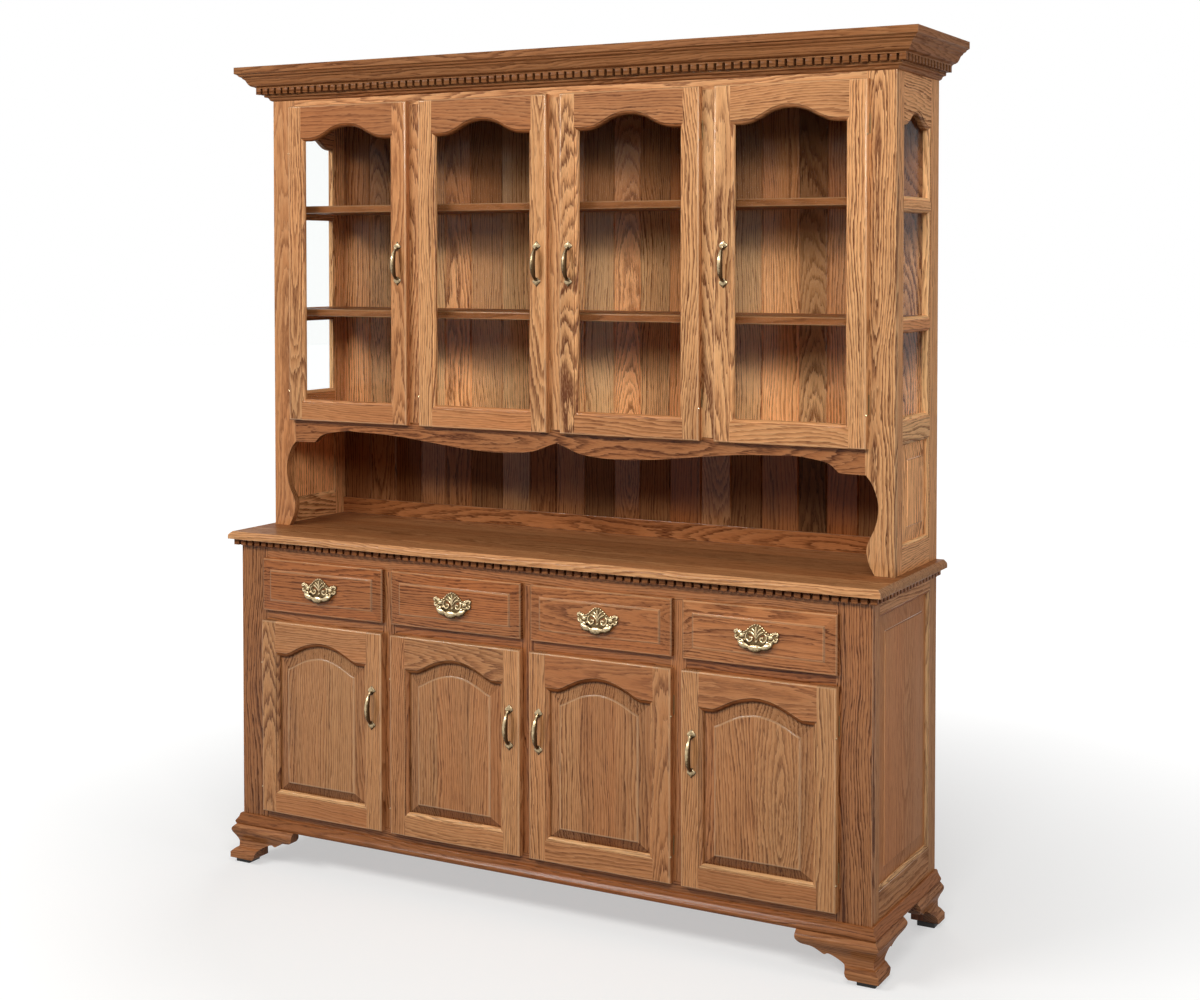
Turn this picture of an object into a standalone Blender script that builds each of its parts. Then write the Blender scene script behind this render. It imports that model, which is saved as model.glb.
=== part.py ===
"""Oak hutch: a cupboard base with four drawers, and a glazed upper case standing on its counter.

Each piece is a closed solid at its real size, in metres, with +Z up and the front towards -Y.
The origin is on the floor, in the middle of the object's outline.
"""

import math

import bmesh
import bpy
from mathutils import Matrix, Vector

# Fits between pieces
GAP = 0.0003
RUNNING = 0.001
OVERLAP = 0.001
WELD = 0.00001

# Cases
BODY_WIDTH = 1.772
BASE_DEPTH = 0.4435
HUTCH_DEPTH = 0.3033
BOARD = 0.019
CASE_BOTTOM = 0.1015
COUNTER_HEIGHT = 0.887
COUNTER_THICK = 0.0195
COUNTER_LIP = 0.0272
HUTCH_HEIGHT = 1.225
BASE_BACK_THICK = 0.006

# Doors and drawer fronts lie on the face frames and overlap their openings
FRONT_THICK = 0.019
OVERLAY = 0.008
EDGE_ROUND = 0.002

# Fronts of the base, four bays wide: what is left between them, and the heights over and under them
BAY_COUNT = 4
BASE_MARGIN = 0.0788
BASE_FRONT_GAP = 0.0272
BASE_DOOR_LIFT = 0.0495
DRAWER_RAIL = 0.0255
DRAWER_HEIGHT = 0.1375
DRAWER_TOP_RAIL = 0.0455

# Doors of the hutch
HUTCH_MARGIN = 0.0637
HUTCH_DOOR_GAP = 0.039
DISPLAY_HEIGHT = 0.2902
HUTCH_TOP_RAIL = 0.0902

# Glazed door frame
HUTCH_STILE = 0.0425
HUTCH_RAIL = 0.048
HUTCH_HEAD_DROP = 0.086
HUTCH_SHOULDER = 0.0215
HUTCH_ARCH_RISE = 0.0354
HUTCH_BEAD_WIDTH = 0.009
HUTCH_BEAD_DEPTH = 0.0125
RABBET = 0.008
GLASS = 0.003

# Panelled door frame
BASE_STILE = 0.046
BASE_RAIL = 0.0515
BASE_HEAD_DROP = 0.082
BASE_SHOULDER = 0.0256
BASE_ARCH_RISE = 0.0367
BASE_BEAD_WIDTH = 0.010
BASE_BEAD_DEPTH = 0.0095
GROOVE_WIDTH = 0.0045
GROOVE_DEPTH = 0.006
QUIRK = 0.0012
BEAD_STEPS = 3

# Right half of an arched head: (share of the arch's half width, share of its rise)
HUTCH_ARCH = ((0.0, 1.0), (0.20, 0.940), (0.40, 0.734), (0.60, 0.385), (0.80, 0.108), (1.0, 0.0))
BASE_ARCH = ((0.0, 1.0), (0.25, 0.915), (0.48, 0.720), (0.71, 0.409), (0.87, 0.155), (1.0, 0.0))

# Raised panels: a bevel, a small step and a flat field
FIELD_DEPTH = 0.0025
FIELD_STEP = 0.002
FIELD_STEP_WIDTH = 0.0012
DOOR_BEVEL = 0.028
DOOR_BEVEL_LOW = 0.0225
DOOR_FIELD_DROP = 0.029
DOOR_FIELD_RISE = 0.037
SIDE_BEVEL = 0.036
SIDE_BEAD_WIDTH = 0.008
SIDE_BEAD_DEPTH = 0.0085
DRAWER_BEVEL = 0.028
DRAWER_EDGE_DROP = 0.006
DRAWER_STEP = 0.003

# End of the base: its opening's distances from the front, the back and the counter
BASE_END_STILE = 0.046
BASE_END_BACK_STILE = 0.050
BASE_END_LIFT = 0.0945
BASE_END_TOP_RAIL = 0.0485

# End of the hutch: three lites over one raised panel, with a muntin level with each shelf
END_STILE = 0.0517
END_BACK_STILE = 0.0575
END_LOW_RAIL = 0.0597
END_PANEL_LIFT = 0.0133
END_MIDDLE_RAIL = 0.0475
END_HEAD_DROP = 0.186
MUNTIN = 0.021
MUNTIN_DROP = 0.017
LITE_ARCH_RISE = 0.0292
LITE_ARCH_SHOULDER = 0.020

# Hutch: shelves, back, apron (share of the half width, down from the floor) and the scrolled feet of
# its stiles (in from the edge, share of the height under the apron)
SHELF_SHARES = {"lower_shelf": 0.3218, "upper_shelf": 0.6302}
SHELF_SETBACK = 0.030
BACK_BOARD_THICK = 0.012
BACK_BOARD_WIDTH = 0.0985
GROOVE_V = 0.003
BACK_RAIL_HEIGHT = 0.043
BACK_RAIL_PROUD = 0.0085
HUTCH_TOP_DROP = 0.004
APRON_END = 0.1347
APRON = ((1.0, 0.0672), (0.964, 0.0457), (0.904, 0.0366), (0.849, 0.0322), (0.804, 0.0335), (0.666, 0.0376),
         (0.528, 0.0478), (0.386, 0.0595), (0.277, 0.0650), (0.226, 0.0657), (0.165, 0.0645),
         (0.0905, 0.0575), (0.0333, 0.0422), (0.0, 0.0332))
SCROLL = ((0.0473, 0.0), (0.0605, 0.104), (0.0672, 0.221), (0.0645, 0.316), (0.0470, 0.481),
          (0.0398, 0.628), (0.0412, 0.750), (0.0530, 0.897), (0.0695, 0.994))
CURVE_STEPS = 2

# Base: inside
CLEAT = 0.019
GUIDE_HEIGHT = 0.014

# Drawer boxes
BOX_WALL = 0.012
BOX_FLOOR = 0.009
BOX_BACK_GAP = 0.0378
BOX_TOP_DROP = 0.014

# Crown: (out from the case, down from its top edge), from the top edge to the case
CROWN_RISE = 0.016
CROWN = ((0.046, 0.0), (0.075, 0.0), (0.075, 0.017), (0.068, 0.0205), (0.0655, 0.0243), (0.0605, 0.0268),
         (0.058, 0.0305), (0.0535, 0.034), (0.049, 0.043), (0.044, 0.049), (0.036, 0.052), (0.033, 0.0535))
BED_MOULD = ((0.0175, 0.0), (0.0170, 0.0065), (0.0100, 0.0085), (0.0065, 0.0145), (0.0020, 0.0172))
CROWN_DENTIL_TOP = 0.0555
CROWN_DENTIL_BOTTOM = 0.0715
CROWN_DENTIL_OUT = 0.033
CROWN_DENTIL_BACK = 0.0185
DENTIL_WIDTH = 0.0162
DENTIL_PITCH = 0.0225

# Strip of dentils under the counter
BASE_DENTIL_OUT = 0.0152
BASE_DENTIL_HEIGHT = 0.016
BASE_DENTIL_BACK = 0.004
BASE_DENTIL_BAND = 0.002

# Moulded edges: (out, height over the lower edge) and (back from the lip, down from the top)
BASE_MOULDING = ((0.0137, 0.0), (0.0164, 0.0071), (0.0127, 0.0135), (0.009, 0.0195), (0.007, 0.0262),
                 (0.004, 0.0285))
COUNTER_EDGE = ((0.0085, 0.0), (0.0047, 0.0035), (0.0007, 0.008), (0.0, 0.013))

# Ogee bracket feet: (out, share of the height) of the face, and the cut-out under a wing as shares of
# the wing's length and of the height
FOOT_FACE = ((0.0221, 0.914), (0.0236, 0.860), (0.0203, 0.771), (0.0147, 0.684), (0.0092, 0.569),
             (0.0083, 0.494), (0.0093, 0.395), (0.0149, 0.363), (0.0205, 0.316), (0.0257, 0.270))
FOOT_TOP_OUT = 0.0135
FOOT_INSIDE = 0.010
FOOT_WING = 0.175
FOOT_CUT = ((0.260, 0.0), (0.303, 0.198), (0.331, 0.364), (0.437, 0.479), (0.566, 0.560),
            (0.634, 0.528), (0.777, 0.668), (0.937, 0.706), (1.0, 0.820))
BACK_BRACKET = 0.110
BACK_BRACKET_CUT = ((0.414, 0.0), (0.509, 0.296), (0.682, 0.543), (1.0, 0.790))
FOOT_BLOCK = 0.045
GLIDE_HEIGHT = 0.0125
GLIDE_SIZE = 0.044
GLIDE_OUT = 0.0145

# Hinge knuckles at the doors' front corners
KNUCKLE_RADIUS = 0.0035
KNUCKLE_LENGTH = 0.045
KNUCKLE_STANDOFF = 0.0025
KNUCKLE_SETBACK = 0.0035
HUTCH_KNUCKLE_END = 0.080
BASE_KNUCKLE_END = 0.066
KNUCKLE_SIDES = 8

# Bow pulls: a round bow between two leaves
PULL_REACH = 0.028
BOW_HALF = 0.040
BOW_SIDES = 8
BOW = ((0.0, 0.0036), (0.055, 0.0036), (0.11, 0.0052), (0.165, 0.0036), (0.26, 0.0052), (0.38, 0.0066),
       (0.5, 0.0068))
LEAF = ((0.0036, -0.006), (0.0050, -0.003), (0.0088, 0.001), (0.0100, 0.0045), (0.0075, 0.0085),
        (0.0035, 0.0120))
LEAF_TIP = 0.015
LEAF_THICK = 0.0025
BASE_PULL_DROP = 0.192

# Drawer pulls: half of the back plate's outline, the posts and the bail
PLATE = ((0.0, 0.0310), (0.0065, 0.0300), (0.0110, 0.0262), (0.0170, 0.0255), (0.0205, 0.0205),
         (0.0262, 0.0180), (0.0290, 0.0120), (0.0355, 0.0085), (0.0420, 0.0110), (0.0480, 0.0165),
         (0.0540, 0.0155), (0.0560, 0.0100), (0.0515, 0.0065), (0.0550, 0.0000), (0.0510, -0.0065),
         (0.0430, -0.0090), (0.0365, -0.0165), (0.0270, -0.0185), (0.0190, -0.0160), (0.0100, -0.0185),
         (0.0, -0.0175))
PIERCING = ((0.0060, -0.0080), (0.0150, 0.0020), (0.0240, 0.0050), (0.0215, -0.0010), (0.0150, -0.0060),
            (0.0110, -0.0120))
PLATE_THICK = 0.002
POST_X = 0.031
POST_DROP = 0.009
POST_RADIUS = 0.0045
POST_LENGTH = 0.0103
POST_SIDES = 10
PIN_OUT = 0.0070
PIN_RADIUS = 0.0013
PIN_HOLE = 0.0019
PIN_SIDES = 8
BAIL_PLAY = 0.0024
BAIL_DROP = 0.0205
BAIL = ((0.0, 0.0022), (0.10, 0.0030), (0.22, 0.0040), (0.34, 0.0034), (0.42, 0.0036), (0.46, 0.0050),
        (0.5, 0.0050))

# Places worked out from the sizes above
HALF = BODY_WIDTH / 2
INNER = HALF - BOARD
BACK = (BASE_DEPTH + GAP + FRONT_THICK + GAP + PULL_REACH) / 2
BASE_FRONT = BACK - BASE_DEPTH
HUTCH_FRONT = BACK - HUTCH_DEPTH
BASE_DOOR_Y = BASE_FRONT - GAP - FRONT_THICK
HUTCH_DOOR_Y = HUTCH_FRONT - GAP - FRONT_THICK
BASE_BACK_Y = BACK - BASE_BACK_THICK
HUTCH_BACK_Y = BACK - BACK_BOARD_THICK
COUNTER_LOW = COUNTER_HEIGHT - COUNTER_THICK
CASE_TOP = COUNTER_HEIGHT + HUTCH_HEIGHT
CROWN_TOP = CASE_TOP + CROWN_RISE

BASE_FRONT_WIDTH = (BODY_WIDTH - 2 * BASE_MARGIN - (BAY_COUNT - 1) * BASE_FRONT_GAP) / BAY_COUNT
DRAWER_LOW = COUNTER_LOW - DRAWER_TOP_RAIL - DRAWER_HEIGHT
DRAWER_MIDDLE = DRAWER_LOW + DRAWER_HEIGHT / 2
DRAWER_BAY_LOW = DRAWER_LOW + OVERLAY
DRAWER_BAY_HIGH = DRAWER_LOW + DRAWER_HEIGHT - OVERLAY
BASE_DOOR_LOW = CASE_BOTTOM + BASE_DOOR_LIFT
BASE_DOOR_HIGH = DRAWER_LOW - DRAWER_RAIL
CUPBOARD_LOW = BASE_DOOR_LOW + OVERLAY
CUPBOARD_HIGH = BASE_DOOR_HIGH - OVERLAY
BASE_SHELF_TOP = (CUPBOARD_LOW + CUPBOARD_HIGH) / 2

HUTCH_DOOR_WIDTH = (BODY_WIDTH - 2 * HUTCH_MARGIN - (BAY_COUNT - 1) * HUTCH_DOOR_GAP) / BAY_COUNT
HUTCH_DOOR_LOW = COUNTER_HEIGHT + DISPLAY_HEIGHT
HUTCH_DOOR_HIGH = CASE_TOP - HUTCH_TOP_RAIL
HUTCH_LOW = COUNTER_HEIGHT + GAP
HUTCH_FLOOR_TOP = HUTCH_DOOR_LOW + OVERLAY
HUTCH_TOP_LOW = CASE_TOP - HUTCH_TOP_DROP - BOARD
SHELF_TOPS = {name: HUTCH_FLOOR_TOP + share * (HUTCH_TOP_LOW - HUTCH_FLOOR_TOP)
              for name, share in SHELF_SHARES.items()}

# Colours: red, green, blue, roughness, metallic
OAK = (0.40, 0.17, 0.06, 0.35, 0.0)
OAK_INSIDE = (0.36, 0.18, 0.08, 0.5, 0.0)
BRASS = (0.62, 0.48, 0.20, 0.3, 1.0)
CLEAR = (0.85, 0.92, 0.90, 0.05, 0.0)


def bays(width, gap):
    """The middles of a row of equal fronts, from left to right."""
    pitch = width + gap
    return [(index - (BAY_COUNT - 1) / 2) * pitch for index in range(BAY_COUNT)]


BASE_BAYS = bays(BASE_FRONT_WIDTH, BASE_FRONT_GAP)
HUTCH_BAYS = bays(HUTCH_DOOR_WIDTH, HUTCH_DOOR_GAP)


class Window:
    """An opening seen square on: straight sides and sill, and a head that may rise in an arch."""

    def __init__(self, centre, half, low, high, arch_half=0.0, rise=0.0, arch=()):
        self.centre = centre
        self.half = half
        self.low = low
        self.high = high
        self.arch_half = arch_half
        self.rise = rise
        self.arch = arch

    def inset(self, amount):
        return Window(self.centre, self.half - amount, self.low + amount, self.high - amount,
                      self.arch_half, self.rise, self.arch)

    def squared(self, reach):
        """The rectangle round this window, its edges further out by the reach."""
        return Window(self.centre, self.half + reach, self.low - reach, self.high + self.rise + reach,
                      self.arch_half, 0.0, self.arch)

    def loop(self):
        """Its outline, from the lower left corner round by the right."""
        left = self.centre - self.half
        right = self.centre + self.half
        points = [(left, self.low), (right, self.low), (right, self.high)]
        both_halves = list(reversed(self.arch)) + [(-across, lift) for across, lift in self.arch[1:]]
        for across, lift in both_halves:
            points.append((self.centre + self.arch_half * across, self.high + self.rise * lift))
        points.append((left, self.high))
        return points


def as_object(mesh_builder, name="shape"):
    """Close up a mesh under construction and put it in the scene."""
    bmesh.ops.remove_doubles(mesh_builder, verts=mesh_builder.verts, dist=WELD)
    bmesh.ops.recalc_face_normals(mesh_builder, faces=mesh_builder.faces)
    mesh = bpy.data.meshes.new(name)
    mesh_builder.to_mesh(mesh)
    mesh_builder.free()
    shape = bpy.data.objects.new(name, mesh)
    bpy.context.collection.objects.link(shape)
    return shape


def skin(loops, ring=False):
    """A solid through a row of equal loops: capped at its ends, or closed round as a ring."""
    builder = bmesh.new()
    rows = [[builder.verts.new(point) for point in loop] for loop in loops]
    pairs = list(zip(rows, rows[1:]))
    if ring:
        pairs.append((rows[-1], rows[0]))
    for first, second in pairs:
        for index in range(len(first)):
            builder.faces.new((first[index - 1], first[index], second[index], second[index - 1]))
    if not ring:
        builder.faces.new(reversed(rows[0]))
        builder.faces.new(rows[-1])
    return as_object(builder)


def box(x_range, y_range, z_range):
    """A plain block between two limits along each axis."""
    (x0, x1), (y0, y1), (z0, z1) = x_range, y_range, z_range
    corners = ((x0, y0), (x1, y0), (x1, y1), (x0, y1))
    return skin([[(x, y, z) for x, y in corners] for z in (z0, z1)])


def sheet(outline, holes, place, thickness):
    """A flat board with holes: its outlines in the plane, its thickness along the place's depth."""
    builder = bmesh.new()
    edges = []
    for loop in [outline] + holes:
        verts = [builder.verts.new(place(u, v, 0.0)) for u, v in loop]
        edges += [builder.edges.new((verts[index - 1], verts[index])) for index in range(len(verts))]
    filled = bmesh.ops.triangle_fill(builder, use_beauty=True, edges=edges)
    faces = [item for item in filled["geom"] if isinstance(item, bmesh.types.BMFace)]
    grown = bmesh.ops.extrude_face_region(builder, geom=faces)
    moved = [item for item in grown["geom"] if isinstance(item, bmesh.types.BMVert)]
    shift = Vector(place(0.0, 0.0, thickness)) - Vector(place(0.0, 0.0, 0.0))
    bmesh.ops.translate(builder, verts=moved, vec=shift)
    return as_object(builder)


def rod(start, end, radius, sides):
    """A round rod between two points."""
    start, end = Vector(start), Vector(end)
    return tube([start, end], [radius, radius], sides)


def tube(path, radii, sides):
    """A round bar along a plane path, its radius given at each point."""
    path = [Vector(point) for point in path]
    flat = (path[1] - path[0]).cross(path[len(path) // 2] - path[0])
    across = flat.normalized() if flat.length > WELD ** 2 else (path[1] - path[0]).orthogonal().normalized()
    loops = []
    for index, point in enumerate(path):
        before = path[max(index - 1, 0)]
        after = path[min(index + 1, len(path) - 1)]
        outward = across.cross(after - before).normalized()
        turns = [2 * math.pi * side / sides for side in range(sides)]
        loops.append([point + radii[index] * (math.cos(turn) * outward + math.sin(turn) * across)
                      for turn in turns])
    return skin(loops)


def combine(body, tools, operation):
    """Cut the tools out of the body, or weld them to it."""
    for tool in tools:
        modifier = body.modifiers.new("combine", "BOOLEAN")
        modifier.operation = operation
        modifier.solver = "EXACT"
        modifier.object = tool
    graph = bpy.context.evaluated_depsgraph_get()
    mesh = bpy.data.meshes.new_from_object(body.evaluated_get(graph))
    body.modifiers.clear()
    body.data = mesh
    for tool in tools:
        bpy.data.objects.remove(tool)
    return body


def cut(body, tools):
    return combine(body, tools, "DIFFERENCE")


def weld(body, tools):
    return combine(body, tools, "UNION")


def material(name, look):
    """A Principled material of the piece's own."""
    finish = bpy.data.materials.new(name)
    finish.use_nodes = True
    shader = finish.node_tree.nodes["Principled BSDF"]
    shader.inputs["Base Color"].default_value = (*look[:3], 1.0)
    shader.inputs["Roughness"].default_value = look[3]
    shader.inputs["Metallic"].default_value = look[4]
    finish.diffuse_color = (*look[:3], 1.0)
    return finish


def piece(name, shape, look, pivot=None):
    """Name a finished solid, give it its material and hang it on its pivot, if it moves."""
    shape.name = name
    shape.data.name = name
    shape.data.materials.clear()
    shape.data.materials.append(material(name, look))
    shape.data.shade_smooth()
    shape.data.set_sharp_from_angle(angle=math.radians(35))
    if pivot:
        bpy.context.view_layer.update()
        shape.data.transform(Matrix.Translation(-pivot.matrix_world.translation))
        shape.parent = pivot
    return shape


def pivot_at(name, place, parent=None):
    """An empty on a joint's axis."""
    empty = bpy.data.objects.new(name, None)
    bpy.context.collection.objects.link(empty)
    empty.location = place
    if parent:
        bpy.context.view_layer.update()
        empty.parent = parent
        empty.location = Vector(place) - parent.matrix_world.translation
    return empty


def smooth(points, steps=CURVE_STEPS):
    """A curve through the points, each stretch between two of them in equal steps."""
    ends = [points[0]] + list(points) + [points[-1]]
    curve = []
    for before, start, end, after in zip(ends, ends[1:], ends[2:], ends[3:]):
        for step in range(steps):
            t = step / steps
            curve.append(tuple(
                0.5 * (2 * b + (c - a) * t + (2 * a - 5 * b + 4 * c - d) * t ** 2
                       + (3 * b - a - 3 * c + d) * t ** 3)
                for a, b, c, d in zip(before, start, end, after)))
    curve.append(points[-1])
    return curve


def facing_front(y):
    """Plane places on a front whose outer face lies at y: depth runs back."""
    return lambda u, v, depth: (u, y + depth, v)


def facing_side(side):
    """Plane places on a case's end: u runs along Y, and depth runs inwards."""
    return lambda u, v, depth: (side * (HALF - depth), u, v)


def bead(window, width, depth):
    """The sticking round a window: a small quirk, then a quarter round down to the lip."""
    sections = [(window, 0.0)]
    for step in range(BEAD_STEPS + 1):
        turn = math.pi / 2 * step / BEAD_STEPS
        drop = QUIRK + (depth - QUIRK) * (1 - math.cos(turn))
        sections.append((window.inset(width * math.sin(turn)), drop))
    return sections


def ring_of(sections, place):
    """A frame whose cross-section passes through the windows at their depths."""
    return skin([[place(u, v, depth) for u, v in window.loop()] for window, depth in sections], ring=True)


def stack_of(sections, place):
    """A solid block through the windows at their depths."""
    return skin([[place(u, v, depth) for u, v in window.loop()] for window, depth in sections])


def frame_edge(outer):
    """The outside of a door frame: its back edge, side and rounded front edge."""
    return [(outer, FRONT_THICK), (outer, EDGE_ROUND), (outer.inset(EDGE_ROUND), 0.0)]


def run_round(profile, half, front):
    """A moulding of (out, height) points, mitred round the front and both ends of a case."""
    stations = ((-half, BACK, -1, 0), (-half, front, -1, -1), (half, front, 1, -1), (half, BACK, 1, 0))
    return skin([[(x + dx * out, y + dy * out, z) for out, z in profile] for x, y, dx, dy in stations])


def dentil_gaps(out, back, front, z_range):
    """Cutters that leave a row of equal dentils on the front and both ends."""
    front_length = BODY_WIDTH + 2 * out
    count = round((front_length + DENTIL_PITCH - DENTIL_WIDTH) / DENTIL_PITCH)
    pitch = (front_length - DENTIL_WIDTH) / (count - 1)
    cutters = []
    for index in range(count - 1):
        x = -front_length / 2 + index * pitch + DENTIL_WIDTH
        cutters.append(((x, x + pitch - DENTIL_WIDTH), (front - out - OVERLAP, front - back), z_range))
    end_count = int((BACK - front + out) / pitch)
    for index in range(end_count):
        y = front - out + index * pitch + DENTIL_WIDTH
        span = (y, min(y + pitch - DENTIL_WIDTH, BACK + OVERLAP))
        cutters.append(((HALF + back, HALF + out + OVERLAP), span, z_range))
        cutters.append(((-HALF - out - OVERLAP, -HALF - back), span, z_range))
    builder = bmesh.new()
    for (x0, x1), (y0, y1), (z0, z1) in cutters:
        middle = Vector(((x0 + x1) / 2, (y0 + y1) / 2, (z0 + z1) / 2))
        size = Matrix.Diagonal((x1 - x0, y1 - y0, z1 - z0, 1.0))
        bmesh.ops.create_cube(builder, size=1.0, matrix=Matrix.Translation(middle) @ size)
    return as_object(builder)


def raised_recess(window, place):
    """A cutter that leaves a raised panel behind a beaded opening in a solid end."""
    sections = [(window, -OVERLAP)] + bead(window, SIDE_BEAD_WIDTH, SIDE_BEAD_DEPTH)[1:]
    field = window.inset(SIDE_BEAD_WIDTH + SIDE_BEVEL)
    sections.append((field, FIELD_DEPTH + FIELD_STEP))
    sections.append((field.inset(FIELD_STEP_WIDTH), FIELD_DEPTH))
    return stack_of(sections, place)


def base_end(side):
    """One end of the base: a frame round one tall raised panel, with a cleat for the shelf inside."""
    place = facing_side(side)
    front = BASE_FRONT + BOARD + GAP
    x_range = sorted((side * HALF, side * INNER))
    body = box(x_range, (front, BACK), (CASE_BOTTOM, COUNTER_LOW - GAP))
    low_y = BASE_FRONT + BASE_END_STILE
    high_y = BACK - BASE_END_BACK_STILE
    window = Window((low_y + high_y) / 2, (high_y - low_y) / 2, CASE_BOTTOM + BASE_END_LIFT,
                    COUNTER_LOW - BASE_END_TOP_RAIL)
    cut(body, [raised_recess(window, place)])
    cleat_x = sorted((side * (INNER + OVERLAP), side * (INNER - CLEAT)))
    cleat_top = BASE_SHELF_TOP - BOARD - GAP
    cleat = box(cleat_x, (front + CLEAT, BASE_BACK_Y - CLEAT - 2 * GAP), (cleat_top - CLEAT, cleat_top))
    return weld(body, [cleat])


def hutch_end(side):
    """One end of the hutch: three lites, the top one arched, over a raised panel."""
    place = facing_side(side)
    front = HUTCH_FRONT + BOARD + GAP
    x_range = sorted((side * HALF, side * INNER))
    body = box(x_range, (front, BACK), (HUTCH_LOW, CASE_TOP))
    middle, half = end_middle()
    panel_high = HUTCH_DOOR_LOW + END_PANEL_LIFT
    tools = [raised_recess(Window(middle, half, HUTCH_LOW + END_LOW_RAIL, panel_high), place)]
    edges = lite_edges()
    for low, high in zip(edges[::2], edges[1::2]):
        top = high == edges[-1]
        window = Window(middle, half, low, high, half - LITE_ARCH_SHOULDER if top else 0.0,
                        LITE_ARCH_RISE if top else 0.0, HUTCH_ARCH if top else ())
        sections = [(window, -OVERLAP)] + bead(window, SIDE_BEAD_WIDTH, SIDE_BEAD_DEPTH)[1:]
        sections.append((window.inset(SIDE_BEAD_WIDTH), BOARD + OVERLAP))
        tools.append(stack_of(sections, place))
    rabbet_x = sorted((side * (INNER - OVERLAP), side * (INNER + GLASS + 2 * GAP)))
    rabbet = glass_window()
    tools.append(box(rabbet_x, (middle - rabbet.half, middle + rabbet.half), (rabbet.low, rabbet.high)))
    return cut(body, tools)


def end_middle():
    """Middle and half width of the openings in a hutch end, along Y."""
    low = HUTCH_FRONT + END_STILE
    high = BACK - END_BACK_STILE
    return (low + high) / 2, (high - low) / 2


def lite_edges():
    """The lower and upper edges of the lites in a hutch end, from the lowest up."""
    edges = [HUTCH_DOOR_LOW + END_PANEL_LIFT + END_MIDDLE_RAIL]
    for shelf_top in SHELF_TOPS.values():
        middle = shelf_top - MUNTIN_DROP
        edges += [middle - MUNTIN / 2, middle + MUNTIN / 2]
    return edges + [CASE_TOP - END_HEAD_DROP]


def glass_window():
    """The rabbet behind the lites of a hutch end, which one pane fills."""
    middle, half = end_middle()
    edges = lite_edges()
    lites = Window(middle, half, edges[0], edges[-1], 0.0, LITE_ARCH_RISE)
    return lites.inset(SIDE_BEAD_WIDTH).squared(RABBET)


def side_glass(side):
    rabbet = glass_window().inset(GAP)
    x_range = sorted((side * (INNER + GAP), side * (INNER + GAP + GLASS)))
    y_range = (rabbet.centre - rabbet.half, rabbet.centre + rabbet.half)
    return box(x_range, y_range, (rabbet.low, rabbet.high))


def base_face_frame():
    outline = Window(0.0, HALF, CASE_BOTTOM, COUNTER_LOW - GAP).loop()
    half = BASE_FRONT_WIDTH / 2 - OVERLAY
    holes = [Window(x, half, CUPBOARD_LOW, CUPBOARD_HIGH).loop() for x in BASE_BAYS]
    holes += [Window(x, half, DRAWER_BAY_LOW, DRAWER_BAY_HIGH).loop() for x in BASE_BAYS]
    return sheet(outline, holes, facing_front(BASE_FRONT), BOARD)


def hutch_face_frame():
    """Stiles with scrolled feet, a scalloped apron, mullions and a top rail, in one board."""
    reach = HALF - APRON_END
    foot_height = HUTCH_FLOOR_TOP - APRON[0][1] - HUTCH_LOW
    scroll = smooth([(HALF - x, HUTCH_LOW + share * foot_height) for x, share in SCROLL])
    apron = smooth([(reach * share, HUTCH_FLOOR_TOP - drop) for share, drop in APRON])
    right = scroll + apron
    left = [(-x, z) for x, z in reversed(right[:-1])]
    outline = [(HALF, HUTCH_LOW)] + right + left + [(-HALF, HUTCH_LOW), (-HALF, CASE_TOP), (HALF, CASE_TOP)]
    half = HUTCH_DOOR_WIDTH / 2 - OVERLAY
    holes = [Window(x, half, HUTCH_FLOOR_TOP, HUTCH_DOOR_HIGH - OVERLAY).loop() for x in HUTCH_BAYS]
    return sheet(outline, holes, facing_front(HUTCH_FRONT), BOARD)


def between_ends(y_range, z_range):
    """A board that fits between the two ends of a case."""
    return box((-INNER + GAP, INNER - GAP), y_range, z_range)


def base_back():
    """Back panel, with the cleat that carries the shelf's back edge."""
    panel = between_ends((BASE_BACK_Y, BACK), (CASE_BOTTOM, COUNTER_LOW - GAP))
    top = BASE_SHELF_TOP - BOARD - GAP
    cleat = between_ends((BASE_BACK_Y - CLEAT, BASE_BACK_Y + OVERLAP), (top - CLEAT, top))
    return weld(panel, [cleat])


def drawer_deck():
    """The deck that the drawers slide on, with a raised guide behind each stile of the face frame."""
    front = BASE_FRONT + BOARD + GAP
    back = BASE_BACK_Y - GAP
    edge = INNER - GAP
    half = BASE_FRONT_WIDTH / 2 - OVERLAY
    outline = [(-edge, DRAWER_BAY_LOW - BOARD), (edge, DRAWER_BAY_LOW - BOARD)]
    top = DRAWER_BAY_LOW + GUIDE_HEIGHT
    outline.append((edge, top))
    for x in reversed(BASE_BAYS):
        outline += [(x + half, top), (x + half, DRAWER_BAY_LOW), (x - half, DRAWER_BAY_LOW), (x - half, top)]
    outline.append((-edge, top))
    return sheet(outline, [], facing_front(front), back - front)


def base_top():
    """The counter board with its moulded edge, and the strip of dentils under it."""
    edge = [(COUNTER_LIP, COUNTER_LOW)]
    edge += [(COUNTER_LIP - back, COUNTER_HEIGHT - down) for back, down in reversed(COUNTER_EDGE)]
    loops = []
    for out, z in edge:
        x = HALF + out
        y = BASE_FRONT - out
        loops.append([(-x, y, z), (x, y, z), (x, BACK, z), (-x, BACK, z)])
    low = COUNTER_LOW - BASE_DENTIL_HEIGHT
    high = COUNTER_LOW + OVERLAP
    strip = run_round(((GAP, low), (BASE_DENTIL_OUT, low), (BASE_DENTIL_OUT, high), (GAP, high)),
                      HALF, BASE_FRONT)
    heights = (low - OVERLAP, COUNTER_LOW - BASE_DENTIL_BAND)
    cut(strip, [dentil_gaps(BASE_DENTIL_OUT, BASE_DENTIL_BACK, BASE_FRONT, heights)])
    return weld(skin(loops), [strip])


def base_moulding():
    profile = [(out, CASE_BOTTOM + rise) for out, rise in BASE_MOULDING]
    profile += [(GAP, profile[-1][1]), (GAP, CASE_BOTTOM)]
    return run_round(profile, HALF, BASE_FRONT)


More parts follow.
